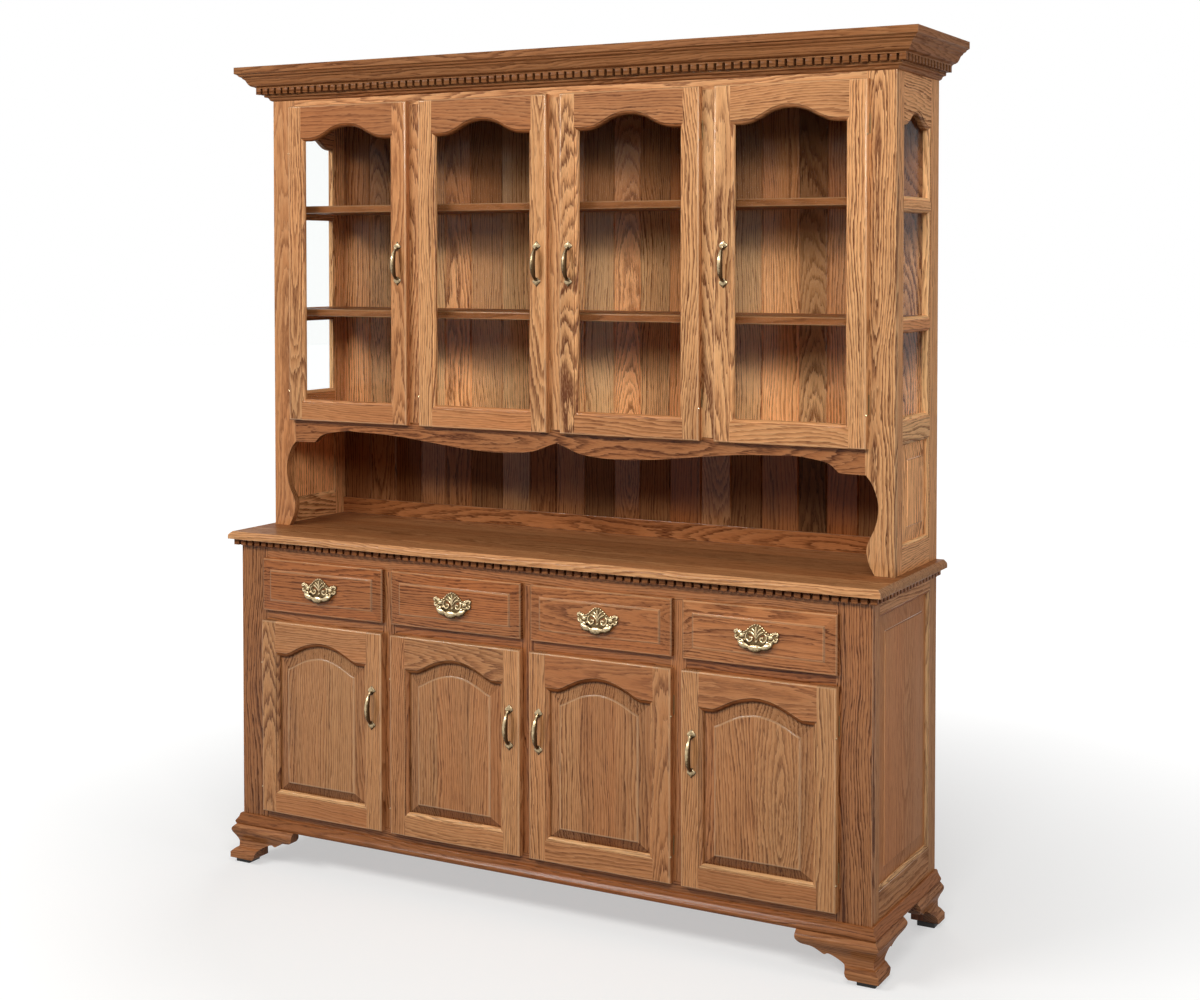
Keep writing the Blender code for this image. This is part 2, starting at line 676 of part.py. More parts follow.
def crown_moulding():
    """The crown, with a row of dentils cut in its lower member over a small bed moulding."""
    profile = [(out, CROWN_TOP - down) for out, down in CROWN]
    dentil_low = CROWN_TOP - CROWN_DENTIL_BOTTOM
    profile += [(CROWN_DENTIL_OUT, dentil_low)]
    profile += [(out, dentil_low - down) for out, down in BED_MOULD]
    profile += [(GAP, profile[-1][1]), (GAP, CASE_TOP)]
    crown = run_round(profile, HALF, HUTCH_FRONT)
    heights = (dentil_low - OVERLAP, CROWN_TOP - CROWN_DENTIL_TOP)
    return cut(crown, [dentil_gaps(CROWN_DENTIL_OUT, CROWN_DENTIL_BACK, HUTCH_FRONT, heights)])


def foot_wing(corner, along, outward, length, cut_line):
    """One wing of a bracket foot's cut-out, as a cutter under its curved lower edge."""
    low = [(share * length, max(height * CASE_BOTTOM, GLIDE_HEIGHT)) for share, height in cut_line]
    outline = [(low[0][0], -OVERLAP)] + low
    outline += [(length + BOARD, low[-1][1]), (length + BOARD, -OVERLAP)]
    reach = FOOT_FACE[-1][0] + OVERLAP
    start = Vector((*corner, 0.0)) + reach * outward
    return sheet(outline, [], lambda u, v, depth: start + u * along - depth * outward + Vector((0, 0, v)),
                 reach + FOOT_INSIDE + BOARD)


def foot(side, at_back):
    """An ogee bracket foot: mitred wings, or one wing and a plain bracket at the back."""
    top = CASE_BOTTOM - GAP
    profile = [(-FOOT_INSIDE, top), (FOOT_TOP_OUT, top)]
    profile += [(out, share * CASE_BOTTOM) for out, share in FOOT_FACE]
    profile += [(FOOT_FACE[-1][0], GLIDE_HEIGHT), (-FOOT_INSIDE, GLIDE_HEIGHT)]
    corner = (side * HALF, BACK if at_back else BASE_FRONT)
    inwards = 1 if not at_back else -1
    out_x = Vector((side, 0, 0))
    out_y = Vector((0, -inwards, 0))
    if at_back:
        stations = ((*corner, side, 0), (corner[0], corner[1] - FOOT_WING, side, 0))
    else:
        stations = ((corner[0] - side * FOOT_WING, corner[1], 0, -1), (*corner, side, -1),
                    (corner[0], corner[1] + FOOT_WING, side, 0))
    body = skin([[(x + dx * out, y + dy * out, z) for out, z in profile] for x, y, dx, dy in stations])
    tools = [foot_wing(corner, -out_y, out_x, FOOT_WING, FOOT_CUT)]
    if not at_back:
        tools.append(foot_wing(corner, -out_x, out_y, FOOT_WING, FOOT_CUT))
    cut(body, tools)
    inner = FOOT_INSIDE - OVERLAP
    block_x = sorted((side * (HALF - inner), side * (HALF - FOOT_BLOCK)))
    edge_y = corner[1] + inwards * (inner if not at_back else BOARD - OVERLAP)
    block_y = sorted((edge_y, corner[1] + inwards * FOOT_BLOCK))
    glide_x = sorted((side * (HALF + GLIDE_OUT), side * (HALF + GLIDE_OUT - GLIDE_SIZE)))
    glide_edge = corner[1] - inwards * (GLIDE_OUT if not at_back else -OVERLAP)
    glide_y = sorted((glide_edge, glide_edge + inwards * GLIDE_SIZE))
    extras = [box(block_x, block_y, (GLIDE_HEIGHT, top)),
              box(glide_x, glide_y, (0.0, GLIDE_HEIGHT + OVERLAP))]
    if at_back:
        low = [(share * BACK_BRACKET, max(height * CASE_BOTTOM, GLIDE_HEIGHT))
               for share, height in BACK_BRACKET_CUT]
        outline = [(FOOT_INSIDE - OVERLAP, GLIDE_HEIGHT)] + low
        outline += [(BACK_BRACKET, top), (FOOT_INSIDE - OVERLAP, top)]
        extras.append(sheet(outline, [], lambda u, v, depth: (side * (HALF - u), BACK - depth, v), BOARD))
    return weld(body, extras)


def knuckles(edge_x, side, front_y, low, high, end):
    """The two hinge barrels at a door's hinge edge, the side being the way out from the door."""
    x = edge_x + side * KNUCKLE_STANDOFF
    y = front_y + KNUCKLE_SETBACK
    rods = []
    for start in (low + end, high - end - KNUCKLE_LENGTH):
        rods.append(rod((x, y, start), (x, y, start + KNUCKLE_LENGTH), KNUCKLE_RADIUS, KNUCKLE_SIDES))
    return rods


def hinge_side(index):
    """Doors in the left half hang on their left edge, the others on their right edge."""
    return -1 if index < BAY_COUNT / 2 else 1


def hutch_door(index):
    """A glazed frame with an arched head, a bead round the glass and a rabbet behind it."""
    x = HUTCH_BAYS[index]
    half = HUTCH_DOOR_WIDTH / 2
    arch_half = half - HUTCH_STILE - HUTCH_BEAD_WIDTH - HUTCH_SHOULDER
    window = Window(x, half - HUTCH_STILE, HUTCH_DOOR_LOW + HUTCH_RAIL, HUTCH_DOOR_HIGH - HUTCH_HEAD_DROP,
                    arch_half, HUTCH_ARCH_RISE, HUTCH_ARCH)
    outer = Window(x, half, HUTCH_DOOR_LOW, HUTCH_DOOR_HIGH, arch_half, 0.0, HUTCH_ARCH)
    rabbet = window.inset(HUTCH_BEAD_WIDTH).squared(RABBET)
    sections = frame_edge(outer) + bead(window, HUTCH_BEAD_WIDTH, HUTCH_BEAD_DEPTH)
    sections += [(rabbet, HUTCH_BEAD_DEPTH), (rabbet, FRONT_THICK)]
    frame = ring_of(sections, facing_front(HUTCH_DOOR_Y))
    side = hinge_side(index)
    weld(frame, knuckles(x + side * half, side, HUTCH_DOOR_Y, HUTCH_DOOR_LOW, HUTCH_DOOR_HIGH,
                         HUTCH_KNUCKLE_END))
    pane = rabbet.inset(GAP)
    y = HUTCH_DOOR_Y + HUTCH_BEAD_DEPTH + GAP
    glass = box((x - pane.half, x + pane.half), (y, y + GLASS), (pane.low, pane.high))
    return frame, glass


def base_door(index):
    """A frame with an arched head, grooved round its opening, and the raised panel in the groove."""
    x = BASE_BAYS[index]
    half = BASE_FRONT_WIDTH / 2
    arch_half = half - BASE_STILE - BASE_BEAD_WIDTH - BASE_SHOULDER
    window = Window(x, half - BASE_STILE, BASE_DOOR_LOW + BASE_RAIL, BASE_DOOR_HIGH - BASE_HEAD_DROP,
                    arch_half, BASE_ARCH_RISE, BASE_ARCH)
    outer = Window(x, half, BASE_DOOR_LOW, BASE_DOOR_HIGH, arch_half, 0.0, BASE_ARCH)
    lip = window.inset(BASE_BEAD_WIDTH)
    groove = lip.inset(-GROOVE_DEPTH)
    groove_back = BASE_BEAD_DEPTH + GROOVE_WIDTH
    sections = frame_edge(outer) + bead(window, BASE_BEAD_WIDTH, BASE_BEAD_DEPTH)
    sections += [(groove, BASE_BEAD_DEPTH), (groove, groove_back), (lip, groove_back), (lip, FRONT_THICK)]
    place = facing_front(BASE_DOOR_Y)
    frame = ring_of(sections, place)
    side = hinge_side(index)
    weld(frame, knuckles(x + side * half, side, BASE_DOOR_Y, BASE_DOOR_LOW, BASE_DOOR_HIGH, BASE_KNUCKLE_END))
    tongue = groove.inset(GAP)
    field_half = lip.half - DOOR_BEVEL
    field = Window(x, field_half, lip.low + DOOR_BEVEL_LOW, lip.high - DOOR_FIELD_DROP,
                   field_half - FIELD_STEP_WIDTH, DOOR_FIELD_RISE, BASE_ARCH)
    panel = stack_of([(tongue, groove_back - GAP), (tongue, BASE_BEAD_DEPTH + GAP),
                      (lip.inset(GAP), BASE_BEAD_DEPTH + GAP), (field, FIELD_DEPTH + FIELD_STEP),
                      (field.inset(FIELD_STEP_WIDTH), FIELD_DEPTH)], place)
    return frame, panel


def drawer(index):
    """A drawer: its front with a raised field, and the open box behind it."""
    x = BASE_BAYS[index]
    outer = Window(x, BASE_FRONT_WIDTH / 2, DRAWER_LOW, DRAWER_LOW + DRAWER_HEIGHT)
    field = outer.inset(DRAWER_BEVEL)
    front = stack_of([(outer, FRONT_THICK), (outer, DRAWER_EDGE_DROP), (field, DRAWER_STEP),
                      (field.inset(FIELD_STEP_WIDTH), 0.0)], facing_front(BASE_DOOR_Y))
    half = BASE_FRONT_WIDTH / 2 - OVERLAY - RUNNING
    start = BASE_DOOR_Y + FRONT_THICK
    end = BASE_BACK_Y - BOX_BACK_GAP
    low = DRAWER_BAY_LOW + GAP
    high = DRAWER_BAY_HIGH - BOX_TOP_DROP
    shell = box((x - half, x + half), (start - OVERLAP, end), (low, high))
    inside = box((x - half + BOX_WALL, x + half - BOX_WALL), (start + BOX_WALL, end - BOX_WALL),
                 (low + BOX_FLOOR, high + OVERLAP))
    cut(shell, [inside])
    return weld(front, [shell])


def bow_pull(x, y, z):
    """A round bow between two leaves that lie flat on the wood."""
    rows = list(BOW) + [(1 - turn, radius) for turn, radius in reversed(BOW[:-1])]
    reach = PULL_REACH - BOW[-1][1]
    path = [(x, y - reach * math.sin(math.pi * turn) - GAP, z + BOW_HALF * math.cos(math.pi * turn))
            for turn, radius in rows]
    path[0] = (x, y - GAP - LEAF_THICK / 2, path[0][2])
    path[-1] = (x, y - GAP - LEAF_THICK / 2, path[-1][2])
    bow = tube(path, [radius for turn, radius in rows], BOW_SIDES)
    leaves = []
    for sign in (1, -1):
        half = [(across, sign * (BOW_HALF + along)) for across, along in LEAF]
        tip = [(0.0, sign * (BOW_HALF + LEAF_TIP))]
        outline = half + tip + [(-across, along) for across, along in reversed(half)]
        leaves.append(sheet([(x + across, z + along) for across, along in outline], [],
                            facing_front(y - GAP - LEAF_THICK), LEAF_THICK))
    return weld(bow, leaves)


def drawer_plate(x):
    """The pierced back plate with its two drilled posts."""
    y = BASE_DOOR_Y - GAP - PLATE_THICK
    half = list(PLATE)
    outline = half + [(-across, z) for across, z in reversed(half[1:-1])]
    holes = [[(sign * across, z) for across, z in PIERCING] for sign in (1, -1)]
    shifted = [[(x + across, DRAWER_MIDDLE + z) for across, z in loop] for loop in [outline] + holes]
    plate = sheet(shifted[0], shifted[1:], facing_front(y), PLATE_THICK)
    z = DRAWER_MIDDLE - POST_DROP
    posts = [rod((x + sign * POST_X, y + PLATE_THICK / 2, z), (x + sign * POST_X, y - POST_LENGTH, z),
                 POST_RADIUS, POST_SIDES) for sign in (1, -1)]
    weld(plate, posts)
    reach = POST_X + 2 * POST_RADIUS
    return cut(plate, [rod((x - reach, y - PIN_OUT, z), (x + reach, y - PIN_OUT, z), PIN_HOLE, PIN_SIDES)])


def drawer_bail(x):
    """The bail: a swelling bow with a bead in its middle, and a pin at each end in its post."""
    y = BASE_DOOR_Y - GAP - PLATE_THICK - PIN_OUT
    z = DRAWER_MIDDLE - POST_DROP
    half = POST_X + POST_RADIUS + BAIL[0][1] + BAIL_PLAY
    rows = list(BAIL) + [(1 - turn, radius) for turn, radius in reversed(BAIL[:-1])]
    path = [(x + half * math.cos(math.pi * turn), y, z - BAIL_DROP * math.sin(math.pi * turn))
            for turn, radius in rows]
    path[0] = (x + half, y, z + BAIL[0][1])
    path[-1] = (x - half, y, z + BAIL[0][1])
    bail = tube(path, [radius for turn, radius in rows], BOW_SIDES)
    pins = [rod((x + sign * POST_X, y, z), (x + sign * half, y, z), PIN_RADIUS, PIN_SIDES)
            for sign in (1, -1)]
    return weld(bail, pins)


def hutch_back():
    """Vertical boards with a V groove at each joint, and the low rail along the counter."""
    edge = INNER - GAP
    count = round(2 * edge / BACK_BOARD_WIDTH)
    front = [(-edge, HUTCH_BACK_Y)]
    for index in range(1, count):
        x = -edge + 2 * edge * index / count
        front += [(x - GROOVE_V, HUTCH_BACK_Y), (x, HUTCH_BACK_Y + GROOVE_V), (x + GROOVE_V, HUTCH_BACK_Y)]
    outline = front + [(edge, HUTCH_BACK_Y), (edge, BACK), (-edge, BACK)]
    boards = sheet(outline, [], lambda u, v, depth: (u, v, HUTCH_LOW + depth), CASE_TOP - HUTCH_LOW)
    rail = between_ends((HUTCH_BACK_Y - BACK_RAIL_PROUD, HUTCH_BACK_Y + 2 * GROOVE_V),
                        (HUTCH_LOW, HUTCH_LOW + BACK_RAIL_HEIGHT))
    return weld(boards, [rail])


def build_base():
    front = BASE_FRONT + BOARD + GAP
    piece("base_left_side", base_end(-1), OAK)
    piece("base_right_side", base_end(1), OAK)
    piece("base_face_frame", base_face_frame(), OAK)
    piece("base_floor", between_ends((front, BASE_BACK_Y - GAP), (CUPBOARD_LOW - BOARD, CUPBOARD_LOW)),
          OAK_INSIDE)
    piece("base_shelf", between_ends((front + CLEAT, BASE_BACK_Y - GAP), (BASE_SHELF_TOP - BOARD,
                                                                         BASE_SHELF_TOP)), OAK_INSIDE)
    piece("base_back", base_back(), OAK_INSIDE)
    piece("drawer_deck", drawer_deck(), OAK_INSIDE)
    piece("base_top", base_top(), OAK)
    piece("base_moulding", base_moulding(), OAK)
    for side, name in ((-1, "left"), (1, "right")):
        piece("front_" + name + "_foot", foot(side, False), OAK)
        piece("back_" + name + "_foot", foot(side, True), OAK)


def build_hutch():
    front = HUTCH_FRONT + BOARD + GAP
    back = HUTCH_BACK_Y - GAP
    piece("hutch_left_side", hutch_end(-1), OAK)
    piece("hutch_right_side", hutch_end(1), OAK)
    piece("side_glass_left", side_glass(-1), CLEAR)
    piece("side_glass_right", side_glass(1), CLEAR)
    piece("hutch_face_frame", hutch_face_frame(), OAK)
    piece("crown_moulding", crown_moulding(), OAK)
    piece("hutch_floor", between_ends((front, back), (HUTCH_FLOOR_TOP - BOARD, HUTCH_FLOOR_TOP)), OAK_INSIDE)
    piece("hutch_top", between_ends((front, back), (HUTCH_TOP_LOW, HUTCH_TOP_LOW + BOARD)), OAK_INSIDE)
    piece("hutch_back", hutch_back(), OAK_INSIDE)
    for name, height in SHELF_TOPS.items():
        piece(name, between_ends((HUTCH_FRONT + SHELF_SETBACK, back), (height - BOARD, height)), OAK_INSIDE)


def build_doors():
    for index in range(BAY_COUNT):
        side = hinge_side(index)
        number = str(index + 1)
        edge = HUTCH_BAYS[index] + side * (HUTCH_DOOR_WIDTH / 2 + KNUCKLE_STANDOFF)
        hinge = pivot_at("hutch_door_hinge_" + number, (edge, HUTCH_DOOR_Y + KNUCKLE_SETBACK, HUTCH_DOOR_LOW))
        frame, glass = hutch_door(index)
        piece("hutch_door_" + number, frame, OAK, hinge)
        piece("hutch_door_glass_" + number, glass, CLEAR, hinge)
        middle = HUTCH_BAYS[index] - side * (HUTCH_DOOR_WIDTH - HUTCH_STILE - HUTCH_BEAD_WIDTH) / 2
        pull_z = (HUTCH_DOOR_LOW + HUTCH_DOOR_HIGH) / 2
        piece("hutch_door_pull_" + number, bow_pull(middle, HUTCH_DOOR_Y, pull_z), BRASS, hinge)
        edge = BASE_BAYS[index] + side * (BASE_FRONT_WIDTH / 2 + KNUCKLE_STANDOFF)
        hinge = pivot_at("base_door_hinge_" + number, (edge, BASE_DOOR_Y + KNUCKLE_SETBACK, BASE_DOOR_LOW))
        frame, panel = base_door(index)
        piece("base_door_" + number, frame, OAK, hinge)
        piece("base_door_panel_" + number, panel, OAK, hinge)
        middle = BASE_BAYS[index] - side * (BASE_FRONT_WIDTH - BASE_STILE - BASE_BEAD_WIDTH) / 2
        pull_z = BASE_DOOR_HIGH - BASE_PULL_DROP
        piece("base_door_pull_" + number, bow_pull(middle, BASE_DOOR_Y, pull_z), BRASS, hinge)


def build_drawers():
    for index, x in enumerate(BASE_BAYS):
        number = str(index + 1)
        slide = pivot_at("drawer_slide_" + number, (x, BASE_DOOR_Y, DRAWER_MIDDLE))
        piece("drawer_" + number, drawer(index), OAK, slide)
        piece("drawer_plate_" + number, drawer_plate(x), BRASS, slide)
        axis = (x, BASE_DOOR_Y - GAP - PLATE_THICK - PIN_OUT, DRAWER_MIDDLE - POST_DROP)
        swing = pivot_at("drawer_bail_pivot_" + number, axis, slide)
        piece("drawer_bail_" + number, drawer_bail(x), BRASS, swing)


def main():
    for shape in list(bpy.data.objects):
        bpy.data.objects.remove(shape)
    build_base()
    build_hutch()
    build_doors()
    build_drawers()


main()
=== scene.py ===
"""Looks of an oak hutch: a panelled cupboard base, and a glazed upper case standing on its counter.

Metres, +Z up, the front towards -Y. Every wooden face knows the board that it was cut from, so that each
stile, rail, panel stave and moulding has its own figure.
"""

import math
import random

import bmesh
import bpy
import numpy as np
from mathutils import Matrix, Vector


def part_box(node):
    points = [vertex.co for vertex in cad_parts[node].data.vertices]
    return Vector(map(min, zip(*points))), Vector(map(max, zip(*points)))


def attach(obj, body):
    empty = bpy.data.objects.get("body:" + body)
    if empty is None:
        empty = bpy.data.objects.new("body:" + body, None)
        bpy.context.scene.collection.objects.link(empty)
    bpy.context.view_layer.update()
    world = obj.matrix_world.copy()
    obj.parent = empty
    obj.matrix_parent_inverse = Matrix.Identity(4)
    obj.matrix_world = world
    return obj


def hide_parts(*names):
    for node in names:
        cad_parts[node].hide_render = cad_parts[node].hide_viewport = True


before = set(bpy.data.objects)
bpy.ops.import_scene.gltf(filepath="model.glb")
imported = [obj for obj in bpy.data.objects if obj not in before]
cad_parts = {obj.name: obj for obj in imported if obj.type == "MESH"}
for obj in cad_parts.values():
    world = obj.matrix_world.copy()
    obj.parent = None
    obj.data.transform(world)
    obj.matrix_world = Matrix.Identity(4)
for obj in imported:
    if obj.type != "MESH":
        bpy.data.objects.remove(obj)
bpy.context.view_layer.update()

bl_info = {
    "name": "Oak hutch",
    "version": (1, 0, 0),
    "blender": (4, 5, 0),
    "location": "3D View > Sidebar > Hutch",
    "description": "Dresses the hutch's frame with wood, brass and glass",
    "category": "Object",
}

# Places taken from the frame, which leaves a gap between its pieces
GAP = 0.0003
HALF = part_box("base_face_frame")[1][0]
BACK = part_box("hutch_back")[1][1]
BASE_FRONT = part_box("base_face_frame")[0][1]
HUTCH_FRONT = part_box("hutch_face_frame")[0][1]
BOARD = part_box("hutch_face_frame")[1][1] - HUTCH_FRONT
INNER = HALF - BOARD
CASE_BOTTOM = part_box("base_face_frame")[0][2]
COUNTER_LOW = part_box("base_face_frame")[1][2] + GAP
COUNTER_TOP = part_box("base_top")[1][2]
HUTCH_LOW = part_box("hutch_face_frame")[0][2]
CASE_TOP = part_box("hutch_face_frame")[1][2]
CROWN_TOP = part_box("crown_moulding")[1][2]
HUTCH_FLOOR_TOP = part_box("hutch_floor")[1][2]

# Doors and drawers, counted from the left: how thick their fronts are, and how far these lap over the case
NUMBERS = (1, 2, 3, 4)
FRONT_THICK = 0.019
OVERLAY = 0.008
# The sunk quirk beside a bead, its width and depth, and where the bead's crest lies, in from it and down
QUIRK_WIDTH = 0.0008
QUIRK_DEPTH = 0.0030
BEAD_CREST = (0.0012, 0.0014)
# Depths of the beads, the width of those in the ends, and the grooves that hold the glass and the panels
GLAZED_BEAD_DEPTH = 0.0125
PANEL_BEAD_DEPTH = 0.0095
END_BEAD = 0.008
END_BEAD_DEPTH = 0.0085
GLASS_GROOVE = 0.001
PANEL_GROOVE = (0.004, 0.0140)
# How far one shell reaches into the next so that no line opens, and the distance at which two points are one
LAP = 0.0004
TINY = 0.00001
# Arched heads: springing under the top, shoulder beside the arch, and the arch's rise
GLAZED_HEAD = (0.086, 0.0215, 0.0354)
PANEL_HEAD = (0.082, 0.0256, 0.0367)
FIELD_HEAD = (0.029, 0.0012, 0.037)
LITE_HEAD = (0.186, 0.020, 0.0292)
# A door panel's tongue, how far in it starts and its depths at the back and the front, the sill under its
# field, and the field's step: depth at its foot, depth on top, width of its rounding
PANEL_TONGUE = (0.0046, 0.0137, 0.0122)
FIELD_SILL = 0.0225
FIELD_STEP = (0.0042, 0.0015, 0.0050)
# The raised field of an end's panel, in (in from the bevel, depth)
END_FIELD = ((0.0, 0.0048), (0.0006, 0.0030), (0.0014, 0.0024), (0.0024, 0.0022))
# Drawers: border round the field, the steps at the front's edge and round the field, as above, and the box's
# wall and bottom
DRAWER_BORDER = 0.028
DRAWER_EDGE = (0.0098, 0.0066, 0.0040)
DRAWER_STEP = (0.0028, 0.0, 0.0045)
DRAWER_WALL = 0.012
DRAWER_BOTTOM = 0.009
# How far the outer edges of a door are rounded, and those of shelves and of small mouldings and boards
DOOR_ROUND = 0.0040
SHELF_ARRIS = 0.0025
FINE_ARRIS = 0.0006
# Ends: their stiles at the front and back, the base's rails, the rail over the hutch's panel, half a muntin,
# and the shelf's cleat
BASE_END_STILES = (0.046, 0.050)
BASE_END_RAILS = (0.0945, 0.0485)
HUTCH_END_STILES = (0.0517, 0.0575)
HUTCH_END_RAIL = 0.0597
MIDDLE_RAIL = 0.0475
HALF_MUNTIN = 0.0105
CLEAT = 0.019
# Feet: the length of a wing, and of the brace behind a back foot
WING = 0.175
BRACE = 0.110

# Right half of an arched head: (share of the arch's half width, share of its rise)
HUTCH_ARCH = ((0.0, 1.0), (0.20, 0.940), (0.40, 0.734), (0.60, 0.385), (0.80, 0.108), (1.0, 0.0))
BASE_ARCH = ((0.0, 1.0), (0.25, 0.915), (0.48, 0.720), (0.71, 0.409), (0.87, 0.155), (1.0, 0.0))
# Profiles: (out from the case, down from the top edge) of the crown, and of the mould under its dentils
CROWN = ((0.046, 0.0), (0.075, 0.0), (0.075, 0.017), (0.068, 0.0205), (0.0655, 0.0243), (0.0605, 0.0268),
         (0.058, 0.0305), (0.0535, 0.034), (0.049, 0.043), (0.044, 0.049), (0.036, 0.052), (0.033, 0.0535))
BED_MOULD = ((0.0175, 0.0), (0.0170, 0.0065), (0.0100, 0.0085), (0.0065, 0.0145), (0.0020, 0.0172))
# (out, height over the lower edge) of the base moulding, and (back from the lip, down) of the counter's edge
BASE_MOULDING = ((0.0137, 0.0), (0.0164, 0.0071), (0.0127, 0.0135), (0.009, 0.0195), (0.007, 0.0262),
                 (0.004, 0.0285))
COUNTER_EDGE = ((0.0085, 0.0), (0.0047, 0.0035), (0.0007, 0.008), (0.0, 0.013))
# (share of the half width, down from the floor) of the apron, and (in, share of the height) of the scroll
APRON = ((1.0, 0.0672), (0.964, 0.0457), (0.904, 0.0366), (0.849, 0.0322), (0.804, 0.0335), (0.666, 0.0376),
         (0.528, 0.0478), (0.386, 0.0595), (0.277, 0.0650), (0.226, 0.0657), (0.165, 0.0645),
         (0.0905, 0.0575), (0.0333, 0.0422), (0.0, 0.0332))
APRON_END = 0.1347
SCROLL = ((0.0473, 0.0), (0.0605, 0.104), (0.0672, 0.221), (0.0645, 0.316), (0.0470, 0.481),
          (0.0398, 0.628), (0.0412, 0.750), (0.0530, 0.897), (0.0695, 0.994))
# (out, share of the height) of a foot's face, and the cut-out under a wing, in shares
FOOT_FACE = ((0.0221, 0.914), (0.0236, 0.860), (0.0203, 0.771), (0.0147, 0.684), (0.0092, 0.569),
             (0.0083, 0.494), (0.0093, 0.395), (0.0149, 0.363), (0.0205, 0.316), (0.0257, 0.270))
FOOT_CUT = ((0.260, 0.0), (0.303, 0.198), (0.331, 0.364), (0.437, 0.479), (0.566, 0.560),
            (0.634, 0.528), (0.777, 0.668), (0.937, 0.706), (1.0, 0.820))
BACK_CUT = ((0.414, 0.0), (0.509, 0.296), (0.682, 0.543), (1.0, 0.790))
GLIDE_HEIGHT = 0.0125
# Seams between the boards of the hutch's back, from left to right
BACK_SEAMS = (-0.778, -0.690, -0.606, -0.522, -0.438, -0.338, -0.250, -0.168, -0.080, 0.008, 0.085, 0.172,
              0.262, 0.346, 0.431, 0.531, 0.606, 0.690, 0.778)
# Tones of the back's boards, where 0 is the middle of the finish and lower is darker, their casts, from 0 for
# pale sapwood to 1 for red heartwood, and the drawers' tones and cast
BACK_TONES = (-0.2, 0.1, -0.5, 0.2, -0.1, -0.4, 0.3, -0.1, 0.1, -0.5, 0.2, -0.3, 0.0, 0.3, -0.4, 0.1, -0.6,
              0.2, -0.2, 0.0)
BACK_CASTS = (0.35, 0.1, 0.55, 0.05, 0.4, 0.15, 0.0, 0.45, 0.2, 0.0, 0.5, 0.1, 0.6, 0.2, 0.0, 0.4, 0.1, 0.6,
              0.15, 0.3)
DRAWER_TONES = (-0.3, -0.22, -0.12, 0.0)
DRAWER_CAST = 0.95
# Bow pull: (share of the bow, radius), and (half width, along) of its leaf
BOW = ((0.0, 0.0036), (0.055, 0.0036), (0.09, 0.0040), (0.11, 0.0052), (0.13, 0.0040), (0.165, 0.0036),
       (0.26, 0.0050), (0.38, 0.0064), (0.5, 0.0067))
LEAF = ((0.0036, -0.006), (0.0046, -0.003), (0.0094, 0.0005), (0.0116, 0.0045), (0.0082, 0.0090),
        (0.0042, 0.0130), (0.0004, 0.0170))
# The bow's middle line behind its front, the leaf's thickness (at its edge, its crown, and the half width at
# which it has all of it), and the vein along its middle
BOW_MIDDLE = 0.0068
LEAF_THICK = (0.0012, 0.0016, 0.008)
LEAF_VEIN = 0.0006
# Drawer pull: half of the plate's outline, one piercing, and the bail's (share, radius)
PLATE = ((0.0, 0.0310), (0.0065, 0.0300), (0.0120, 0.0265), (0.0175, 0.0225), (0.0225, 0.0170),
         (0.0275, 0.0135), (0.0330, 0.0105), (0.0390, 0.0120), (0.0450, 0.0155), (0.0520, 0.0160),
         (0.0560, 0.0110), (0.0525, 0.0065), (0.0545, 0.0010), (0.0520, -0.0060), (0.0440, -0.0095),
         (0.0365, -0.0165), (0.0270, -0.0185), (0.0190, -0.0160), (0.0100, -0.0185), (0.0, -0.0175))
PIERCING = ((0.0045, -0.0020), (0.0100, 0.0050), (0.0175, 0.0085), (0.0205, 0.0050), (0.0150, 0.0020),
            (0.0090, -0.0040), (0.0060, -0.0110))
# Its raised ornament on one half, as (across, up) points with a radius at the start, middle and end
MIDDLE_RIB = (((0.0, -0.0040), (0.0, 0.0060), (0.0, 0.0180), (0.0, 0.0265)), (0.0014, 0.0023, 0.0030))
FAN_RIBS = ((((0.0012, -0.0010), (0.0050, 0.0055), (0.0110, 0.0110), (0.0180, 0.0142)),
             (0.0011, 0.0022, 0.0018)),
            (((0.0010, 0.0050), (0.0030, 0.0115), (0.0072, 0.0175), (0.0120, 0.0208)),
             (0.0010, 0.0022, 0.0018)))
SCROLLS = ((((0.0215, 0.0100), (0.0255, 0.0040), (0.0245, -0.0040), (0.0180, -0.0095), (0.0115, -0.0070),
             (0.0105, -0.0010), (0.0150, 0.0005), (0.0165, -0.0035)), (0.0019, 0.0026, 0.0016)),
           (((0.0270, 0.0075), (0.0330, 0.0060), (0.0400, 0.0085), (0.0455, 0.0125), (0.0520, 0.0130),
             (0.0530, 0.0090), (0.0490, 0.0085)), (0.0022, 0.0030, 0.0018)),
           (((0.0290, -0.0060), (0.0360, -0.0070), (0.0430, -0.0055), (0.0500, -0.0040), (0.0515, 0.0010),
             (0.0470, 0.0015)), (0.0020, 0.0028, 0.0017)))
# Radii along each small lobe of the plate's rim
LOBE_RADII = (0.0009, 0.0021, 0.0021, 0.0009)
# Swellings between the scrolls: (across, up, radius), and their dome, in (out, share of the radius)
LEAF_SWELLS = ((0.0355, 0.0025, 0.0062), (0.0440, -0.0035, 0.0042), (0.0375, 0.0105, 0.0034))
SWELL_DOME = ((0.0, 1.0), (0.0014, 0.96), (0.0030, 0.7), (0.0040, 0.15))
# Turned profiles, in (out, radius): the bail's posts, the boss under the fan, and a hinge's ball tip
POST = ((0.0, 0.0052), (0.0012, 0.0054), (0.0022, 0.0044), (0.0034, 0.0036), (0.0045, 0.0040),
        (0.0078, 0.0042), (0.0092, 0.0038), (0.0101, 0.0022), (0.0103, 0.0004))
BOSS = ((0.0, 0.0034), (0.0012, 0.0034), (0.0024, 0.0024), (0.0030, 0.0006))
BALL_TIP = ((-0.0004, 0.0010), (0.0003, 0.0012), (0.0010, 0.0021), (0.0022, 0.0025), (0.0034, 0.0019),
            (0.0040, 0.0005))
